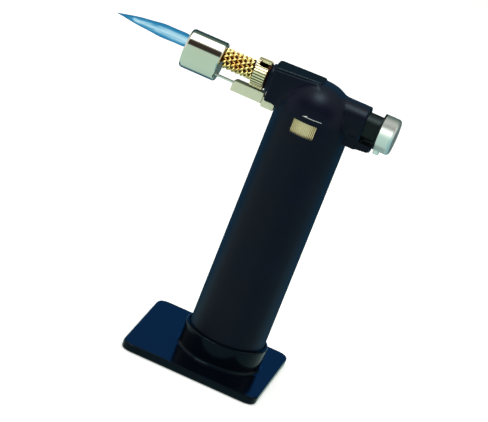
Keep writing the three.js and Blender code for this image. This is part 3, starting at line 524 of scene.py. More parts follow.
# Painted shade: near-black brass stands for the shade on the mixer and the neck behind the air ring.
surface("shade_darkened_brass", srgb(44, 27, 18), 0.5, 1.0, grain=4200, relief=0.004)
surface("cover_sheet", srgb(224, 220, 194), 0.36, 0.5, grain=4200, relief=0.004, stretch=BRUSHED_X,
        variation=0.06, edge_colour=srgb(150, 146, 120))
surface("steel", srgb(168, 176, 180), 0.26, 1.0, grain=4200, relief=0.003, variation=0.08)
surface("ceramic", srgb(232, 228, 216), 0.45, grain=3200, relief=0.006, variation=0.05)
surface("nylon", srgb(214, 216, 210), 0.5, grain=2200, relief=0.01, variation=0.05)
surface("igniter_plastic", srgb(84, 94, 104), 0.48, grain=2400, relief=0.01)
surface("lead_insulation", srgb(42, 16, 14), 0.5, grain=2600, relief=0.01)
surface("hose_rubber", srgb(30, 30, 31), 0.65, grain=2600, relief=0.02)
surface("seal_rubber", srgb(20, 20, 20), 0.7, grain=3200, relief=0.02)
surface("felt", srgb(214, 208, 190), 0.95, grain=5200, relief=0.12, variation=0.18)
surface("mark_white", srgb(206, 210, 208), 0.5, grain=3600, relief=0.004, variation=0.06)


# ---- pieces


def piece(name, shape, body, slot, *replaced, look=None, sharp=32):
    """A finished piece that rides on a body and stands for CAD nodes."""
    mesh = mesh_of(name, shape, MM)
    mesh.materials.append(FINISHES[look or slot])
    smooth(mesh, sharp)
    obj = add_object(name, mesh)
    even = obj.modifiers.new("flat faces stay flat", "WEIGHTED_NORMAL")
    even.keep_sharp = True
    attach(obj, body)
    if replaced:
        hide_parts(*replaced)
    return obj


def dress(node, slot):
    """Gives a CAD node its finish and smooth shading. Its points and faces stay as they are."""
    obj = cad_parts[node]
    obj.data.materials.clear()
    obj.data.materials.append(FINISHES[slot])
    smooth(obj.data, 32)


# ---- stand

WALL = 1.8
SPLIT_GAP = 0.04  # each casing half stops this far from the mid-plane

stand_low, stand_high = span("stand_base")
casing_low, casing_high = span("front_casing")
BODY_R = -casing_low[1]
BODY_BOTTOM = casing_low[2]
DOME_Z = casing_high[2] - BODY_R


def stand():
    plate_top, corner = 3.8, 6.0
    foot_r, collar_r, cove = 23.0, 19.8, 2.2
    collar_top = stand_high[2]
    x, y = (stand_low[0], stand_high[0]), (stand_low[1], stand_high[1])
    plate = prism(fillet(rectangle(x, y), corner, steps=12), 0, plate_top, edge=0.9, steps=5)
    collar = turn(
        fillet([
            (0, 1), (foot_r, 1), (foot_r, plate_top + 0.05), (collar_r, plate_top + 0.05, cove),
            (collar_r, collar_top, 0.9), (0, collar_top),
        ], steps=10),
        segments=192,
    )
    socket_r = BODY_R + 0.2
    socket = turn([
        (0, plate_top), (socket_r, plate_top), (socket_r, collar_top - 0.5), (socket_r + 0.5, collar_top),
        (socket_r + 0.5, collar_top + 1), (0, collar_top + 1),
    ], segments=192)
    return carve(join(plate, collar), [socket])


piece("stand_plate", stand(), "stand", "stand_plastic", "stand_base")

# ---- casing

badge_low, badge_high = span("name_badge")
BURNER_Z = (span("air_ring")[0][2] + span("air_ring")[1][2]) / 2
wheel_low, wheel_high = span("gas_wheel")
WHEEL_R = (wheel_high[0] - wheel_low[0]) / 2
WHEEL_HEIGHT = 7.6  # of the knurled rim, without its skirt
WHEEL_BOTTOM = wheel_high[2] - WHEEL_HEIGHT
VALVE_AXIS = ((wheel_low[0] + wheel_high[0]) / 2, (wheel_low[1] + wheel_high[1]) / 2, 0)
BADGE_SLOPE = 3.0
BADGE_THICK = 1.1
BADGE_MIDDLE = (badge_low[0] + badge_high[0]) / 2
BADGE_HALF = (badge_high[0] - badge_low[0]) / 2
SLOPE = math.tan(math.radians(BADGE_SLOPE))
BADGE_SEAT = badge_high[2] - BADGE_THICK - BADGE_HALF * SLOPE - 0.05

plunger_low, plunger_high = span("button_plunger")
BUTTON_Z = (plunger_low[2] + plunger_high[2]) / 2
COLLAR_R, COLLAR_RIGHT, COLLAR_BORE = 8.7, 22.95, 6.6
LUG_RIGHT, LUG_BOTTOM, LUG_HALF = 22.7, 120.9, 6.0
KEEL_RIGHT, KEEL_CLEAR, SLOT_HALF = casing_high[0], 8.85, 1.7
LOCK_FLOOR, LOCK_REACH, LOCK_DEPTH = 120.0, 10.9, 4.95
BOSS_LEFT, BOSS_R = casing_low[0], 6.6
BLOCK_HALF, BLOCK_BOTTOM, BLOCK_LEFT, BLOCK_RIGHT = 8.0, 125.7, BOSS_LEFT + 2.0, -3.0
BLOCK_TAPER = 0.075  # the block narrows towards the dome, as the badge on it does


def badge_outline(margin):
    half_left, half_right = 7.0 + margin, 5.5 + margin
    reach = BADGE_HALF + margin
    corners = [(-reach, -half_left), (reach, -half_right), (reach, half_right), (-reach, half_left)]
    return fillet(corners, 2.0, steps=8)


def on_badge_seat(shape, lift=0.0):
    return moved(shape, turn_y=-BADGE_SLOPE, by=(BADGE_MIDDLE, 0, BADGE_SEAT + lift))


def slab_field(value, low, high):
    return np.maximum(low - value, value - high)


def casing_field(x, y, z, shrink=0.0, bottom=None):
    """Distance to the casing's outer skin, below zero inside it."""
    bottom = BODY_BOTTOM if bottom is None else bottom
    dome = np.sqrt(x * x + y * y + np.maximum(z - DOME_Z, 0) ** 2) - BODY_R
    body = smooth_max(dome, bottom - z, 1.0)
    top = z - (BADGE_SEAT + 0.1 + (x - BADGE_MIDDLE) * SLOPE)
    block_half = BLOCK_HALF - BLOCK_TAPER * (x - BLOCK_LEFT)
    block = smooth_max(np.abs(y) - block_half, top, 0.8)
    block = smooth_max(block, BLOCK_BOTTOM - z, 1.0)
    block = smooth_max(block, slab_field(x, BLOCK_LEFT, BLOCK_RIGHT), 1.0)
    boss = np.sqrt(y * y + (z - BURNER_Z) ** 2) - BOSS_R
    boss = smooth_max(boss, slab_field(x, BOSS_LEFT, BLOCK_RIGHT), 0.7)
    block = smooth_min(block, boss, 0.5)
    across = np.sqrt(y * y + (z - BUTTON_Z) ** 2)
    collar = smooth_max(across - COLLAR_R, slab_field(x, 8, COLLAR_RIGHT), 0.8)
    middle = np.maximum(np.abs(y) - LUG_HALF, z - BUTTON_Z)
    lug = smooth_max(middle, smooth_max(LUG_BOTTOM - z, slab_field(x, 8, LUG_RIGHT), 0.8), 0.8)
    keel_bottom = 121.3 + 0.1 * np.maximum(x - LUG_RIGHT, 0)
    keel = smooth_max(middle, smooth_max(keel_bottom - z, slab_field(x, 8, KEEL_RIGHT), 0.8), 0.8)
    lock_wall = np.maximum(slab_field(y, SLOT_HALF, LUG_HALF), slab_field(z, LOCK_FLOOR, BUTTON_Z))
    lock_wall = smooth_max(lock_wall, slab_field(x, LUG_RIGHT - 2, KEEL_RIGHT), 0.8)
    keel = smooth_min(keel, lock_wall, 0.4)
    clearance = np.maximum(across - KEEL_CLEAR, COLLAR_RIGHT - x)
    keel = smooth_max(keel, -clearance, 0.5)
    rear = smooth_min(collar, smooth_min(lug, keel, 0.6), 0.6)
    skin = smooth_min(smooth_min(body, block, 3.2), rear, 1.2)
    return skin + shrink


def grid_line(*stretches):
    """Grid places from (start, end, step) stretches."""
    places = [np.arange(start, end, step) for start, end, step in stretches]
    return np.unique(np.round(np.concatenate(places), 4))


def screw_place(name):
    """A screw's lowest and highest corner, and a point on its axis."""
    low, high = span("casing_screw_" + name)
    return low, high, ((low[0] + high[0]) / 2, 0, (low[2] + high[2]) / 2)


def casing_halves():
    step, fine = 0.55, 0.22
    half_side = grid_line((0, 0.8, 0.1), (0.8, 5.6, step), (5.6, 8.6, 0.25), (8.6, 19.6, step))
    side = np.unique(np.concatenate([-half_side, half_side]))
    heights = grid_line(
        (3.2, 6.2, 0.4), (6.2, 116, 6.1), (116, 119, 1), (119, 123, 0.3), (123, 124.8, step),
        (124.8, 126.8, fine), (126.8, 139.4, step), (139.4, 142.6, fine), (142.6, 144.6, step),
    )
    lengths = grid_line(
        (BOSS_LEFT - 0.8, BLOCK_LEFT + 1, fine), (BLOCK_LEFT + 1, 19.8, step),
        (19.8, 24, 0.27), (24, 28, step), (28, KEEL_RIGHT + 1, fine),
    )

    def seamed(x, y, z):
        groove = 0.22 * np.exp(-((y / 0.28) ** 2))
        return casing_field(x, y, z) + groove

    outer = surface_net(seamed, lengths, side, heights)
    coarse = 1.1

    def hollow(x, y, z):
        return casing_field(x, y, z, WALL, bottom=-8)

    inner = surface_net(
        hollow,
        np.arange(-24, 30, coarse),
        np.arange(-18.6, 19.6, coarse),
        np.concatenate([[-9, -7.5, -6, -4], np.arange(0, 116, 8.0), np.arange(117, 144, coarse)]),
    )
    bosses = []
    for name, radius in (("left", 2.9), ("right", 2.9), ("top", 2.0)):
        bosses.append(rod(radius, -BODY_R, BODY_R, "y", screw_place(name)[2]))
    solid_bosses = [carve(boss, [outer], "INTERSECT") for boss in bosses]
    pocket = rod(WHEEL_R + 0.25, WHEEL_BOTTOM - 0.25, wheel_high[2] + 0.25, "z", VALVE_AXIS, segments=96)
    shell = join(carve(outer, [inner, pocket]), *solid_bosses)
    shell = carve(shell, openings())
    front = carve(shell, [box((-40, 40), (-40, -SPLIT_GAP), (-10, 160))], "INTERSECT")
    back = carve(shell, [box((-40, 40), (SPLIT_GAP, 40), (-10, 160))], "INTERSECT")
    return front, back


def openings():
    """Everything that goes through the casing wall."""
    window_wide, window_tall = (-6.4, 5.1), (120.3, 127.0)
    window = prism(fillet(rectangle(window_wide, window_tall), 0.4), -40, -10, axis="y")
    neck_hole = rod(3.5, -40, -18, "x", (0, 0, BURNER_Z))
    bore, mouth = COLLAR_BORE, COLLAR_BORE + 0.45
    collar_hole = [(0, 5), (bore, 5), (bore, 22.5), (mouth, 23), (mouth, 24), (0, 24)]
    collar_bore = turn(collar_hole, "x", (0, 0, BUTTON_Z))
    lead_hole = box((-19, -14), (-1.3, 1.3), (122.4, 124.7))
    slot_left, pocket_long, slot_tall = 24.6, 3.3, (118, 125.4)
    nub_slot = box((slot_left, 40), (-SLOT_HALF, SLOT_HALF), slot_tall)
    lock_pocket = rod(LOCK_REACH, slot_left, slot_left + pocket_long, "x", (0, 0, BUTTON_Z))
    lock_side = box((slot_left - 1, 40), (0, LOCK_DEPTH), slot_tall)
    lock_pocket = carve(lock_pocket, [lock_side], "INTERSECT")
    badge_cut = on_badge_seat(prism(badge_outline(0.15), 0, 5))
    screws = []
    for name in ("left", "right", "top", "collar"):
        low, high, centre = screw_place(name)
        bottom, seat, shank_r, head_r = low[1] - 0.3, high[1] - 1.35, 1.2, 2.4
        hole = [(0, bottom), (shank_r, bottom), (shank_r, seat), (head_r, seat), (head_r, 40), (0, 40)]
        screws.append(turn(hole, "y", centre, 48))
    return [window, neck_hole, collar_bore, lead_hole, nub_slot, lock_pocket, badge_cut, *screws]


front_half, back_half = casing_halves()
piece("casing_front", front_half, "torch", "casing_plastic", "front_casing", sharp=38)
piece("casing_back", back_half, "torch", "casing_plastic", "back_casing", sharp=38)

badge = on_badge_seat(prism(badge_outline(0), 0, BADGE_THICK, edge=0.4, steps=5), 0.05)
piece("badge_pad", badge, "torch", "badge_plastic", "name_badge")


def casing_screw(name):
    low, high, centre = screw_place(name)
    tip, top, shank_r, head_r = low[1], high[1], 1.1, 2.1
    head = top - 1.3
    point = [(0, tip), (0.7, tip), (shank_r, tip + 0.8), (shank_r, head)]
    outline = fillet([*point, (head_r, head, 0.1), (head_r, top, 0.5), (0, top)], 0.05)
    body = turn(outline, "y", centre, 48)
    arm, half_blade, depth = 1.25, 0.28, (top - 0.7, top + 1)
    x, z = centre[0], centre[2]
    across = box((x - arm, x + arm), depth, (z - half_blade, z + half_blade))
    upright = box((x - half_blade, x + half_blade), depth, (z - arm, z + arm))
    return carve(body, [across, upright])


for place in ("left", "right", "top", "collar"):
    piece("screw_" + place, casing_screw(place), "torch", "steel", "casing_screw_" + place)

RING_BORE, RING_BOTTOM, RING_TOP = 6, 4.3, 7.4
base_ring = sleeve(RING_BORE, BODY_R - WALL - 0.1, RING_BOTTOM, RING_TOP, 0.4, segments=128)
piece("base_ring", base_ring, "torch", "casing_plastic", "base_cap")


def window_mark():
    """A fine line with a small arrowhead at its left end, printed on the casing above the window."""
    line_z, left, right, half_line = 129.6, -3.1, 6.0, 0.11
    head_length, head_rise = 2.2, 0.8
    head_end = left + head_length
    x = np.concatenate([np.linspace(left, head_end, 9), np.linspace(head_end + 0.02, right, 24)])
    low = np.full(len(x), line_z - half_line)
    rise = np.where(x <= head_end, head_rise * (x - left) / head_length, 2 * half_line)
    high = low + np.maximum(rise, 0.04)

    def on_skin(z, proud):
        near, far = np.full(len(x), 10.0), np.full(len(x), 22.0)
        for _ in range(30):
            middle = (near + far) / 2
            within = casing_field(x, -middle, z) < proud
            near, far = np.where(within, middle, near), np.where(within, far, middle)
        return np.column_stack([x, -near, z])

    count = len(x)
    sunk, proud = -0.12, 0.06
    edges = ((low, sunk), (low, proud), (high, proud), (high, sunk))
    points = np.concatenate([on_skin(z, depth) for z, depth in edges])
    faces = []
    for k in range(count - 1):
        for row in range(4):
            here, beside = row * count + k, (row + 1) % 4 * count + k
            faces.append([here, here + 1, beside + 1, beside])
    faces += [[row * count for row in range(4)], [row * count + count - 1 for row in range(4)]]
    return points, faces


piece("window_mark", window_mark(), "torch", "badge_plastic", look="mark_white")

# ---- gas wheel


def gas_wheel():
    low, high = wheel_low, wheel_high
    rim, teeth, depth = WHEEL_R, 104, 0.2
    skirt_bore, skirt_r, stem_bore = 3.7, 5.4, 1.7
    chamber_r, chamber_bottom, chamber_top = 3.0, 113, 119
    wheel_bottom, top = WHEEL_BOTTOM, high[2]

    def knurl(angles, radius):
        if radius < rim - 0.6:
            return np.full(len(angles), radius)
        return radius - depth * (0.5 - 0.5 * np.cos(teeth * angles))

    outline = fillet([
        (skirt_bore, low[2]), (skirt_r, low[2]), (skirt_r, wheel_bottom), (rim, wheel_bottom, 0.45),
        (rim, top, 0.45), (stem_bore, top), (stem_bore, chamber_top), (chamber_r, chamber_top),
        (chamber_r, chamber_bottom), (skirt_bore, chamber_bottom),
    ], 0.15)
    return turn(outline, "z", VALVE_AXIS, teeth * 6, knurl)


piece("wheel_rim", gas_wheel(), "wheel", "champagne", "gas_wheel", look="wheel_metal")

# ---- burner

barrel_low, barrel_high = span("barrel")
BARREL_R = (barrel_high[1] - barrel_low[1]) / 2
BARREL_Z = (barrel_low[2] + barrel_high[2]) / 2
AXIS = (0, 0, BURNER_Z)
SLOT_LENGTH, SLOT_WIDTH, SLOT_TURN = 5.0, 3.2, 36
ELECTRODE_Z = 125.7
TUBE_R, TUBE_BORE = 2.5, 1.9


def barrel():
    left, right = barrel_low[0], barrel_high[0]
    inner, back_wall = BARREL_R - 0.7, 1.2
    outline = fillet([
        (0, right), (BARREL_R, right, 1.1), (BARREL_R, left + 1.0, 0.4), (BARREL_R - 0.45, left, 0.3),
        (inner, left, 0.12), (inner, right - back_wall, 0.9), (0, right - back_wall),
    ], steps=6)
    shell = turn(outline, "x", (0, 0, BARREL_Z), 160)
    tube_hole = rod(TUBE_R + 0.05, right - 4, right + 4, "x", AXIS)
    electrode_hole = rod(0.95, right - 4, right + 4, "x", (0, 0, ELECTRODE_Z))
    return carve(shell, [tube_hole, electrode_hole])


def turned_span(node):
    """The left end, right end and radius of a node that is round about X."""
    low, high = span(node)
    return low[0], high[0], (high[1] - low[1]) / 2


def flame_holder():
    left, right, outer = turned_span("flame_holder")
    step = span("burner_tube")[0][0] - 0.1
    outline = fillet([
        (1, left, 0.3), (outer, left, 0.5), (outer, right, 0.3), (TUBE_R + 0.05, right),
        (TUBE_R + 0.05, step), (1, step),
    ])
    body = turn(outline, "x", AXIS, 96)
    ports = []
    for angle in np.arange(8) * math.pi / 4:
        centre = (0, 3.2 * math.cos(angle), BURNER_Z + 3.2 * math.sin(angle))
        ports.append(rod(0.5, left - 1, right + 1, "x", centre, segments=20))
    return carve(body, ports)


def cooling_coil():
    """A wire coiled into small loops, wound as a helix round the burner tube."""
    left, right, reach = turned_span("cooling_coil")
    wire, rows, loops, loop_half = 0.42, 7, 10.5, 0.68
    inner, outer = TUBE_R + wire + 0.05, reach - wire
    steps = int(rows * loops * 16)
    t = np.linspace(0, rows, steps + 1)
    round_tube = 2 * math.pi * t
    round_loop = 2 * math.pi * loops * t
    radius = (inner + outer) / 2 - (outer - inner) / 2 * np.cos(round_loop)
    # Half a turn at each end doesn't advance.
    start, end = left + loop_half + wire, right - loop_half - wire
    along = np.interp(t, [0.5, rows - 0.5], [start, end]) + loop_half * np.sin(round_loop)
    path = np.column_stack([along, radius * np.cos(round_tube), BURNER_Z + radius * np.sin(round_tube)])
    return sweep(path, wire, 7)


def air_ring():
    left, right, outer = turned_span("air_ring")
    bore, grooves, depth = 6.0, 34, 0.6

    def knurl(angles, radius):
        if radius < bore + 0.3:
            return np.full(len(angles), radius)
        phase = (angles * grooves / (2 * math.pi)) % 1
        dip = np.clip((0.24 - np.abs(phase - 0.5)) / 0.1, 0, 1)
        return np.minimum(radius, outer - depth * dip * min(1.0, (radius - bore) / (outer - bore)))

    outline = fillet([(bore, left), (outer, left, 0.35), (outer, right, 0.35), (bore, right)], steps=4)
    shell = turn(outline, "x", AXIS, grooves * 12, knurl)
    slot_left, half_width, end_r = right - SLOT_LENGTH, SLOT_WIDTH / 2, 1.4
    corners = [
        (slot_left, -half_width, end_r), (right + 1, -half_width), (right + 1, half_width),
        (slot_left, half_width, end_r),
    ]
    slot = moved(prism(fillet(corners, steps=8), 0, 9), turn_x=SLOT_TURN, by=AXIS)
    return carve(shell, [slot])


def mixing_chamber():
    left, right, r = turned_span("mixing_chamber")
    neck_left = span("burner_neck")[0][0]
    outline = fillet([
        (TUBE_R + 0.05, left), (r, left, 0.2), (r, right, 0.2), (3.45, right), (3.45, neck_left),
        (4.6, neck_left - 0.4), (4.6, left + 1), (TUBE_R + 0.05, left + 1),
    ])
    shell = turn(outline, "x", AXIS, 96)
    inlets = []
    half_width = SLOT_WIDTH / 2 + 0.5
    for quarter in range(4):
        inlet = box((left + 1.6, neck_left - 0.5), (-half_width, half_width), (0, 9))
        inlets.append(moved(inlet, turn_x=SLOT_TURN + 90 * quarter, by=AXIS))
    return carve(shell, inlets)


def burner_neck():
    low, high = span("burner_neck")
    left, right = low[0], high[0]
    r, flange_r, flange = 3.4, 4.9, 1.5
    bore, hose_r, jet_r, jet_depth = 0.8, 1.8, 1.5, 2.4
    face = BLOCK_LEFT + WALL + 0.05
    outline = fillet([
        (jet_r, left), (r, left, 0.3), (r, face), (flange_r, face), (flange_r, face + flange, 0.2),
        (hose_r, face + flange), (hose_r, right, 0.3), (bore, right), (bore, left + jet_depth),
        (jet_r, left + jet_depth),
    ], 0.05)
    return turn(outline, "x", AXIS, 96)


tube_low, tube_high = span("burner_tube")
gas_tube = sleeve(TUBE_BORE, TUBE_R, tube_low[0], tube_high[0], 0.2, "x", AXIS, 64)

piece("barrel_shell", barrel(), "torch", "nickel", "barrel")
piece("flame_head", flame_holder(), "torch", "brass", "flame_holder")
piece("coil_wire", cooling_coil(), "torch", "gold_wire", "cooling_coil", sharp=60)
piece("ring_knurled", air_ring(), "ring", "champagne", "air_ring")
# The mixer and the neck get the painted-shade brass.
piece("mixer", mixing_chamber(), "torch", "brass", "mixing_chamber", look="shade_darkened_brass")
piece("neck", burner_neck(), "torch", "brass", "burner_neck", look="shade_darkened_brass")
piece("gas_tube", gas_tube, "torch", "brass", "burner_tube", look="heated_brass")

# ---- electrode


def electrode_rod():
    low, high = span("electrode_rod")
    radius, bend = 0.6, 1.6
    front = low[0] + radius
    turns = np.linspace(0, math.pi / 2, 9)
    curve = [(front + bend * (1 - math.sin(t)), 0, ELECTRODE_Z + bend * (1 - math.cos(t))) for t in turns]
    tip = high[2]
    rounding = [(0.0, 0.25), (0.06, 0.62), (0.2, 0.85), (0.45, 1.0)]
    stem_x = [high[0], *np.linspace(high[0] - 1, front + bend + 0.5, 8)]
    stem = [(x, 0, ELECTRODE_Z) for x in stem_x]
    end = [(front, 0, tip - rise * radius * 2) for rise, _ in reversed(rounding)]
    radii = [radius] * (len(stem) + len(curve)) + [radius * share for _, share in reversed(rounding)]
    return sweep([*stem, *curve, *end], radii, 20)


def electrode_cover():
    low, high = span("electrode_cover")
    sheet, chamfer = 0.5, 1.1
    left, right, bottom, top = low[0], high[0], low[2], high[2]
    outside = [(left, bottom, 0.6), (right, bottom), (right, top)]
    outside += [(left + chamfer, top, 0.5), (left, top - chamfer, 0.5)]
    inside = [
        (left + sheet, bottom + sheet, 0.3), (right + 1, bottom + sheet), (right + 1, top - sheet),
        (left + chamfer + 0.2, top - sheet, 0.3), (left + sheet, top - chamfer - 0.2, 0.3),
    ]
    shell = prism(fillet(outside), low[1], high[1], axis="y", edge=0.45)
    hollow = prism(fillet(inside), low[1] + sheet, high[1] - sheet, axis="y", edge=0.2)
    hole = rod(0.75, left - 1, left + 2, "x", (0, 0, ELECTRODE_Z), segments=32)
    return carve(shell, [hollow, hole])


def lead_cover():
    low, high = span("lead_cover")
    sheet = 0.5
    outside = [(low[1], low[2], 0.5), (high[1], low[2], 0.5), (high[1], high[2]), (low[1], high[2])]
    inside = [
        (low[1] + sheet, low[2] + sheet, 0.2), (high[1] - sheet, low[2] + sheet, 0.2),
        (high[1] - sheet, high[2] + 1), (low[1] + sheet, high[2] + 1),
    ]
    shell = prism(fillet(outside), low[0], high[0], axis="x", edge=0.12, steps=2)
    return carve(shell, [prism(fillet(inside), low[0] - 1, high[0] + 1, axis="x")])


piece("spark_rod", electrode_rod(), "torch", "steel", "electrode_rod", look="satin_silver", sharp=50)
piece("spark_cover", electrode_cover(), "torch", "cover_sheet", "electrode_cover")
piece("lead_channel", lead_cover(), "torch", "cover_sheet", "lead_cover")

insulator_low, insulator_high = span("electrode_insulator")
INSULATOR_BORE, INSULATOR_R = 0.65, 1.15
insulator = sleeve(INSULATOR_BORE, INSULATOR_R, insulator_low[0], insulator_high[0],
                   0.15, "x", (0, 0, ELECTRODE_Z), 40)
piece("insulator_sleeve", insulator, "torch", "ceramic", "electrode_insulator")

lead_knots = [
    (-25.2, 0, ELECTRODE_Z), (-24.3, 0, ELECTRODE_Z - 0.6), (-22, 0, 123.6), (-17.5, 0, 123.55),
    (-14.9, 0, 125), (-14.2, 0.4, 128.4), (-9, 2.4, 130), (-2, 1, BUTTON_Z), (3.1, 0, BUTTON_Z),
]
spark_lead = sweep(smooth_path(lead_knots, 6), 0.8, 14)
piece("spark_lead", spark_lead, "torch", "lead_insulation", "ignition_lead", sharp=60)

# ---- ignition button

BUTTON_AXIS = (0, 0, BUTTON_Z)


def button_plunger():
    left, end = 17.0, plunger_high[0]
    r, bore, flange_r, flange = 6.5, 5.45, (plunger_high[1] - plunger_low[1]) / 2, 0.7
    stem = 2.5
    outline = fillet([
        (bore, left), (r, left, 0.3), (r, end - flange, 0.35), (flange_r, end - flange, 0.25),
        (flange_r, end, 0.25), (stem, end), (stem, end - flange - 0.9), (bore, end - flange - 0.9),
    ], 0.05)
    tube = turn(outline, "x", BUTTON_AXIS, 128)
    end_cut, below = (left - 1, left + 2), BUTTON_Z - 8
    lever_relief = box(end_cut, (-6, -2.4), (below, BUTTON_Z - 3))
    wheel_relief = box(end_cut, (-7, 7), (below, wheel_high[2] + 0.3))
    finger_top, finger_right = -0.9, 18.6
    finger_outline = [(14.2, finger_top), (14.2, -2.6), (finger_right, -3.25), (finger_right, finger_top)]
    raised = [(x, BUTTON_Z + z) for x, z in finger_outline]
    finger = prism(fillet(raised, 0.3), -5.2, -3.2, axis="y", edge=0.15)
    root = box((left, finger_right), (-5.7, -3.2), (BUTTON_Z - 3, BUTTON_Z + finger_top))
    return join(carve(tube, [lever_relief, wheel_relief]), finger, root)


def button_cap():
    low, high = span("button_cap")
    right, r = high[0], (high[1] - low[1]) / 2
    face_left, edge_r, stem_r = 30.5, 1.9, 2.4
    groove_left, groove_right, groove_r = 28.05, 28.75, 1.9
    stem_left = low[0]
    outline = fillet([
        (0, right), (r * 0.55, right - 0.03, 3.0), (r, right - 0.12, edge_r), (r, face_left, 0.3),
        (stem_r, face_left), (stem_r, groove_right), (groove_r, groove_right), (groove_r, groove_left),
        (stem_r, groove_left), (stem_r, stem_left, 0.2), (0, stem_left),
    ], steps=8)
    body = turn(outline, "x", BUTTON_AXIS, 160)
    nub_length, half_width, tip = 2.6, 1.2, low[2]
    nub_long, nub_tall = (face_left, face_left + nub_length), (tip, BUTTON_Z - r + 1.2)
    nub = box(nub_long, (-half_width, half_width), nub_tall, edge=0.4)
    return join(body, nub)


piece("plunger", button_plunger(), "button", "button_plastic", "button_plunger")
piece("cap", button_cap(), "cap", "satin_silver", "button_cap")

# ---- springs, hose and the parts that stay as designed


def spring(name, node, wire_turns, axis, centre):
    """A wire spring as long as a CAD node along an axis; it stands in for that node."""
    radius, wire, turns = wire_turns
    along = "xyz".index(axis)
    ends = [corner[along] for corner in span(node)]
    shape = helix(radius, wire, *ends, turns, axis, centre)
    obj = piece(name, shape, "torch", "steel", node, sharp=70)
    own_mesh(obj)


ORIGIN = (0, 0, 0)
spring("spring_return", "return_spring", (4.95, 0.3, 7), "x", BUTTON_AXIS)
spring("spring_valve", "valve_spring", (2.25, 0.3, 5), "z", VALVE_AXIS)
spring("spring_filler", "filler_spring", (1.65, 0.25, 6), "z", ORIGIN)


def gas_hose():
    nozzle_top = span("gas_nozzle")[1][2]
    knots = [
        (VALVE_AXIS[0], VALVE_AXIS[1], nozzle_top + 0.7),
        (VALVE_AXIS[0] - 1, VALVE_AXIS[1] + 0.2, nozzle_top + 2.2), (-8, -1.6, BURNER_Z - 0.2),
        (-12, -0.2, BURNER_Z), (span("burner_neck")[1][0] + 0.3, 0, BURNER_Z),
    ]
    return sweep(smooth_path(knots, 12), 1.3, 20)


hose = add_object("hose", mesh_of("hose", gas_hose(), MM))
hose.data.materials.append(FINISHES["hose_rubber"])
smooth(hose.data)
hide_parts("gas_hose")
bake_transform(hose)

KEPT = {
    "nylon": ("fuel_tank", "tank_cap"),
    "felt": ("fuel_wick",),
    "brass": ("filler_body", "filler_stem", "gas_valve", "gas_nozzle", "gas_jet"),
    "seal_rubber": ("filler_seal", "valve_seal"),
    "steel": ("nozzle_clip", "valve_lever", "lever_pin", "cap_clip"),
    "igniter_plastic": ("piezo_case", "piezo_slider"),
}
for slot_name, kept_nodes in KEPT.items():
    for kept_node in kept_nodes:
        dress(kept_node, slot_name)

# ---- flame, an effect that isn't part of the object


def flame_material():
    material, nodes = new_material("flame")
    facing = nodes.add("LayerWeight", {"Blend": 0.5}).outputs["Facing"]
    place = nodes.add("TexCoord").outputs["Generated"]
    stretched = nodes.add("Mapping", {"Vector": place, "Scale": (1.2, 7, 7)}).outputs[0]
    streaks = nodes.noise(stretched, 1.6)
    upward = nodes.add("SeparateXYZ", {0: nodes.add("NewGeometry").outputs["Normal"]}).outputs[2]
    along = nodes.add("SeparateXYZ", {0: place}).outputs[0]
    edge = nodes.math("ADD", facing, nodes.spread(streaks, -0.1, 0.1))
    edge = nodes.math("ADD", edge, nodes.math("MULTIPLY", upward, 0.08))
    edge = nodes.math("ADD", edge, nodes.spread(along, 0.6, 0.0, 0.0, 0.25))
    colour = ramp_of(
        nodes,
        edge,
        [
            (0.0, srgb(186, 226, 238)[:3]), (0.08, srgb(156, 208, 228)[:3]), (0.17, srgb(96, 168, 204)[:3]),
            (0.28, srgb(48, 132, 176)[:3]), (0.8, srgb(32, 112, 158)[:3]),
        ],
    )
    glow = nodes.add("Emission", {"Color": colour, "Strength": 1.0})
    nodes.add("OutputMaterial", {"Surface": glow.outputs[0]})
    return material


def flame():
    mouth, length, half, droop = barrel_low[0] + 1.0, 36.4, 3.3, 1.1
    t = np.linspace(0, 1, 48)
    swell = np.interp(t, [0, 0.12, 0.3, 0.6, 0.85, 1.0], [0.82, 0.94, 1.0, 0.74, 0.32, 0.0])
    swell = np.convolve(np.pad(swell, 3, mode="edge"), np.ones(7) / 7, "valid")
    swell *= 1 + 0.035 * np.sin(19 * t)
    swell[-1] = 0
    outline = [(0, mouth)] + [(half * s, mouth - length * x) for s, x in zip(swell, t)]
    points, faces = turn(outline, "x", AXIS, 64)
    points[:, 2] -= droop * ((mouth - points[:, 0]) / length) ** 2
    mesh = mesh_of("flame", (points, faces), MM)
    mesh.materials.append(flame_material())
    smooth(mesh)
    obj = add_object("flame", mesh)
    obj.visible_shadow = False
    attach(obj, "torch")


flame()

# ---- floor, light and camera


PALE_CARD = (0.66, 0.87, 0.76)  # what mirrors show in front of the object


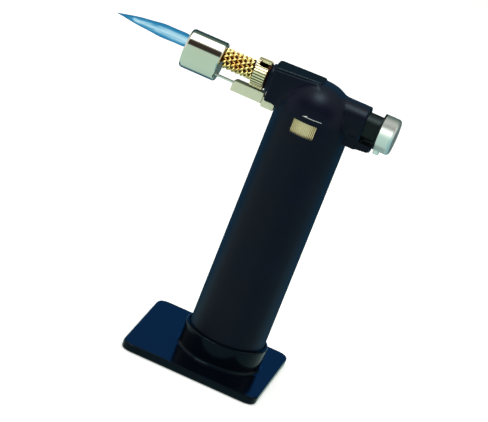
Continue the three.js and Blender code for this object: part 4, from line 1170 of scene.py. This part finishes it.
def floor():
    mesh = bpy.data.meshes.new("floor")
    side = (-6.0, 6.0)
    mesh.from_pydata([(x, y, 0) for x, y in rectangle(side, side)], [], [(0, 1, 2, 3)])
    obj = add_object("floor", mesh)
    obj.location.z = -0.1 * MM
    material, nodes = new_material("floor")
    place = nodes.add("TexCoord").outputs["Object"]
    patches = nodes.noise(place, 3.0, 3.0)
    pale = nodes.mix(nodes.spread(patches, 0, 1), (0.86, 0.86, 0.86, 1), (0.9, 0.9, 0.9, 1))
    matt = nodes.add("BsdfDiffuse", {"Color": pale})
    # Mirrored in the object, the floor is a pale card in front and dark teal behind.
    split = nodes.add("SeparateXYZ", {0: place})
    ramp = ramp_of(
        nodes,
        nodes.spread(split.outputs[1], 0, 1, -0.1, 0.5),
        [
            (0.0, PALE_CARD), (0.2, (0.6, 0.8, 0.72)), (0.33, (0.24, 0.42, 0.42)),
            (0.44, (0.05, 0.18, 0.22)), (0.66, (0.02, 0.09, 0.15)), (0.76, (0.1, 0.15, 0.15)),
        ],
    )
    # Left of the body it is navy, and under the cap it is teal.
    navy = nodes.math("MULTIPLY", nodes.spread(split.outputs[0], 1, 0, -0.07, -0.03),
                      nodes.spread(split.outputs[1], 0, 1, 0.03, 0.08))
    ramp = nodes.mix(navy, ramp, (0.02, 0.11, 0.2, 1))
    under_cap = nodes.math("MULTIPLY", nodes.spread(split.outputs[0], 0, 0.85, 0.03, 0.07),
                           nodes.spread(split.outputs[1], 1, 0, 0.03, 0.09))
    ramp = nodes.mix(under_cap, ramp, (0.26, 0.56, 0.6, 1))
    mirrored = nodes.add("Emission", {"Color": ramp, "Strength": 1.0})
    path = nodes.add("LightPath").outputs["Is Glossy Ray"]
    # The floor is lit a little from below, so that it stays white in the picture.
    lit = nodes.add("Emission", {"Color": pale, "Strength": 0.45})
    white = nodes.add("AddShader", {0: matt.outputs[0], 1: lit.outputs[0]})
    mixed = nodes.add("MixShader", {0: path, 1: white.outputs[0], 2: mirrored.outputs[0]})
    nodes.add("OutputMaterial", {"Surface": mixed.outputs[0]})
    mesh.materials.append(material)


def studio_world():
    """Pale in front, a brown band above the camera, pale grey overhead and dark teal low behind."""
    world = bpy.data.worlds.new("studio")
    bpy.context.scene.world = world
    world.use_nodes = True
    nodes = Nodes(world.node_tree)
    split = nodes.add("SeparateXYZ", {0: nodes.add("TexCoord").outputs["Generated"]})
    front = nodes.math("MULTIPLY", split.outputs[1], -1.0)
    angle = nodes.math("ARCTAN2", split.outputs[2], front)
    ramp = ramp_of(
        nodes,
        nodes.math("DIVIDE", angle, math.pi),
        [
            (0.0, PALE_CARD), (0.185, (0.68, 0.86, 0.76)), (0.225, (0.05, 0.038, 0.032)),
            (0.37, (0.06, 0.046, 0.04)), (0.4, (0.7, 0.7, 0.66)), (0.64, (0.6, 0.62, 0.58)),
            (0.67, (0.22, 0.29, 0.25)), (0.76, (0.14, 0.21, 0.18)), (0.84, (0.03, 0.07, 0.08)),
            (1.0, (0.02, 0.05, 0.07)),
        ],
    )
    # White cards stand beyond the burner's mouth and beyond the button.
    aside = nodes.math("ABSOLUTE", split.outputs[0])
    card = nodes.math("MULTIPLY", nodes.spread(aside, 0, 1, 0.7, 0.85),
                      nodes.spread(split.outputs[2], 0, 1, 0.04, 0.12))
    ramp = nodes.mix(card, ramp, (1.0, 1.0, 0.97, 1))
    background = nodes.add("Background", {"Color": ramp, "Strength": 1.0})
    nodes.add("OutputWorld", {"Surface": background.outputs[0]})


def softbox(name, place, target, size, power, colour, names, state="INCLUDE"):
    """A lamp that lights only the named objects, or with EXCLUDE everything else."""
    data = bpy.data.lights.new(name, "AREA")
    data.shape = "RECTANGLE"
    data.size, data.size_y = size
    data.energy = power
    data.color = colour
    lamp = add_object(name, data)
    lamp.location = place
    lamp.rotation_mode = "QUATERNION"
    lamp.rotation_quaternion = (Vector(target) - Vector(place)).to_track_quat("-Z", "Y")
    lamp.visible_camera = False
    group = bpy.data.collections.new(name)
    for lit_name in names:
        group.objects.link(bpy.data.objects[lit_name])
    for member in group.collection_objects:
        member.light_linking.link_state = state
    lamp.light_linking.receiver_collection = group


def camera():
    """The camera looks down on the leaning object, turned on its own axis so that the torch leans right."""
    azimuth, elevation, roll = (math.radians(a) for a in (6.75, 18.78, 21.71))
    distance, lens = 1.7215, 280.8
    target = Vector((0, 0, 75 * MM))
    aim_right, aim_up = -13.5 * MM, 2.6 * MM
    outward = math.sin(azimuth), -math.cos(azimuth)
    back = Vector((*(part * math.cos(elevation) for part in outward), math.sin(elevation)))
    level = Vector((math.cos(azimuth), math.sin(azimuth), 0))
    upright = back.cross(level)
    right = math.cos(roll) * level + math.sin(roll) * upright
    up = -math.sin(roll) * level + math.cos(roll) * upright
    data = bpy.data.cameras.new("camera")
    data.lens = lens
    data.sensor_width = 36
    data.clip_start, data.clip_end = 0.05, 30
    obj = add_object("camera", data)
    turned = Matrix((right, up, back)).transposed().to_4x4()
    place = target + aim_right * right + aim_up * up + back * distance
    obj.matrix_world = Matrix.Translation(place) @ turned
    bpy.context.scene.camera = obj


floor()
studio_world()
PLASTICS = ("casing_front", "casing_back", "badge_pad", "plunger")
softbox("overhead", (0, 0.1, 0.78), (0, 0.1, 0), (1.3, 0.56), 5.2, (1.0, 0.985, 0.95),
        (*PLASTICS, "stand_plate", "cap"), "EXCLUDE")
softbox("dim overhead", (0, 0.16, 0.78), (0, 0.16, 0), (1.3, 0.9), 1.6, (0.9, 0.96, 1.0),
        (*PLASTICS, "stand_plate"))
softbox("key", (-0.04, -0.1, 0.75), (0, 0, 0.12), (0.22, 0.22), 2.1, (0.93, 1.0, 0.99), PLASTICS)
# A low blue card behind, which only the glossy stand mirrors.
softbox("blue card", (-0.13, 1.1, 0.38), (0, 0, 0), (1.4, 0.7), 1.5, (0.0, 0.25, 1.0), ("stand_plate",))
softbox("cap card", (0.04, -0.8, 0.62), (0.03, 0, 0.13), (0.7, 0.4), 2.2, (1.0, 1.0, 0.97), ("cap",))
softbox("warm card", (-0.1, -0.6, 0.75), (-0.03, 0, 0.13), (0.7, 0.5), 7.0, (1.0, 0.94, 0.78),
        ("coil_wire", "ring_knurled", "wheel_rim"))
softbox("stand glint", (-0.3, -0.3, 0.65), (0, 0, 0), (0.4, 0.14), 2.2, (0.95, 1.0, 1.0),
        ("stand_plate",))
camera()
bpy.context.scene.view_settings.view_transform = "Standard"
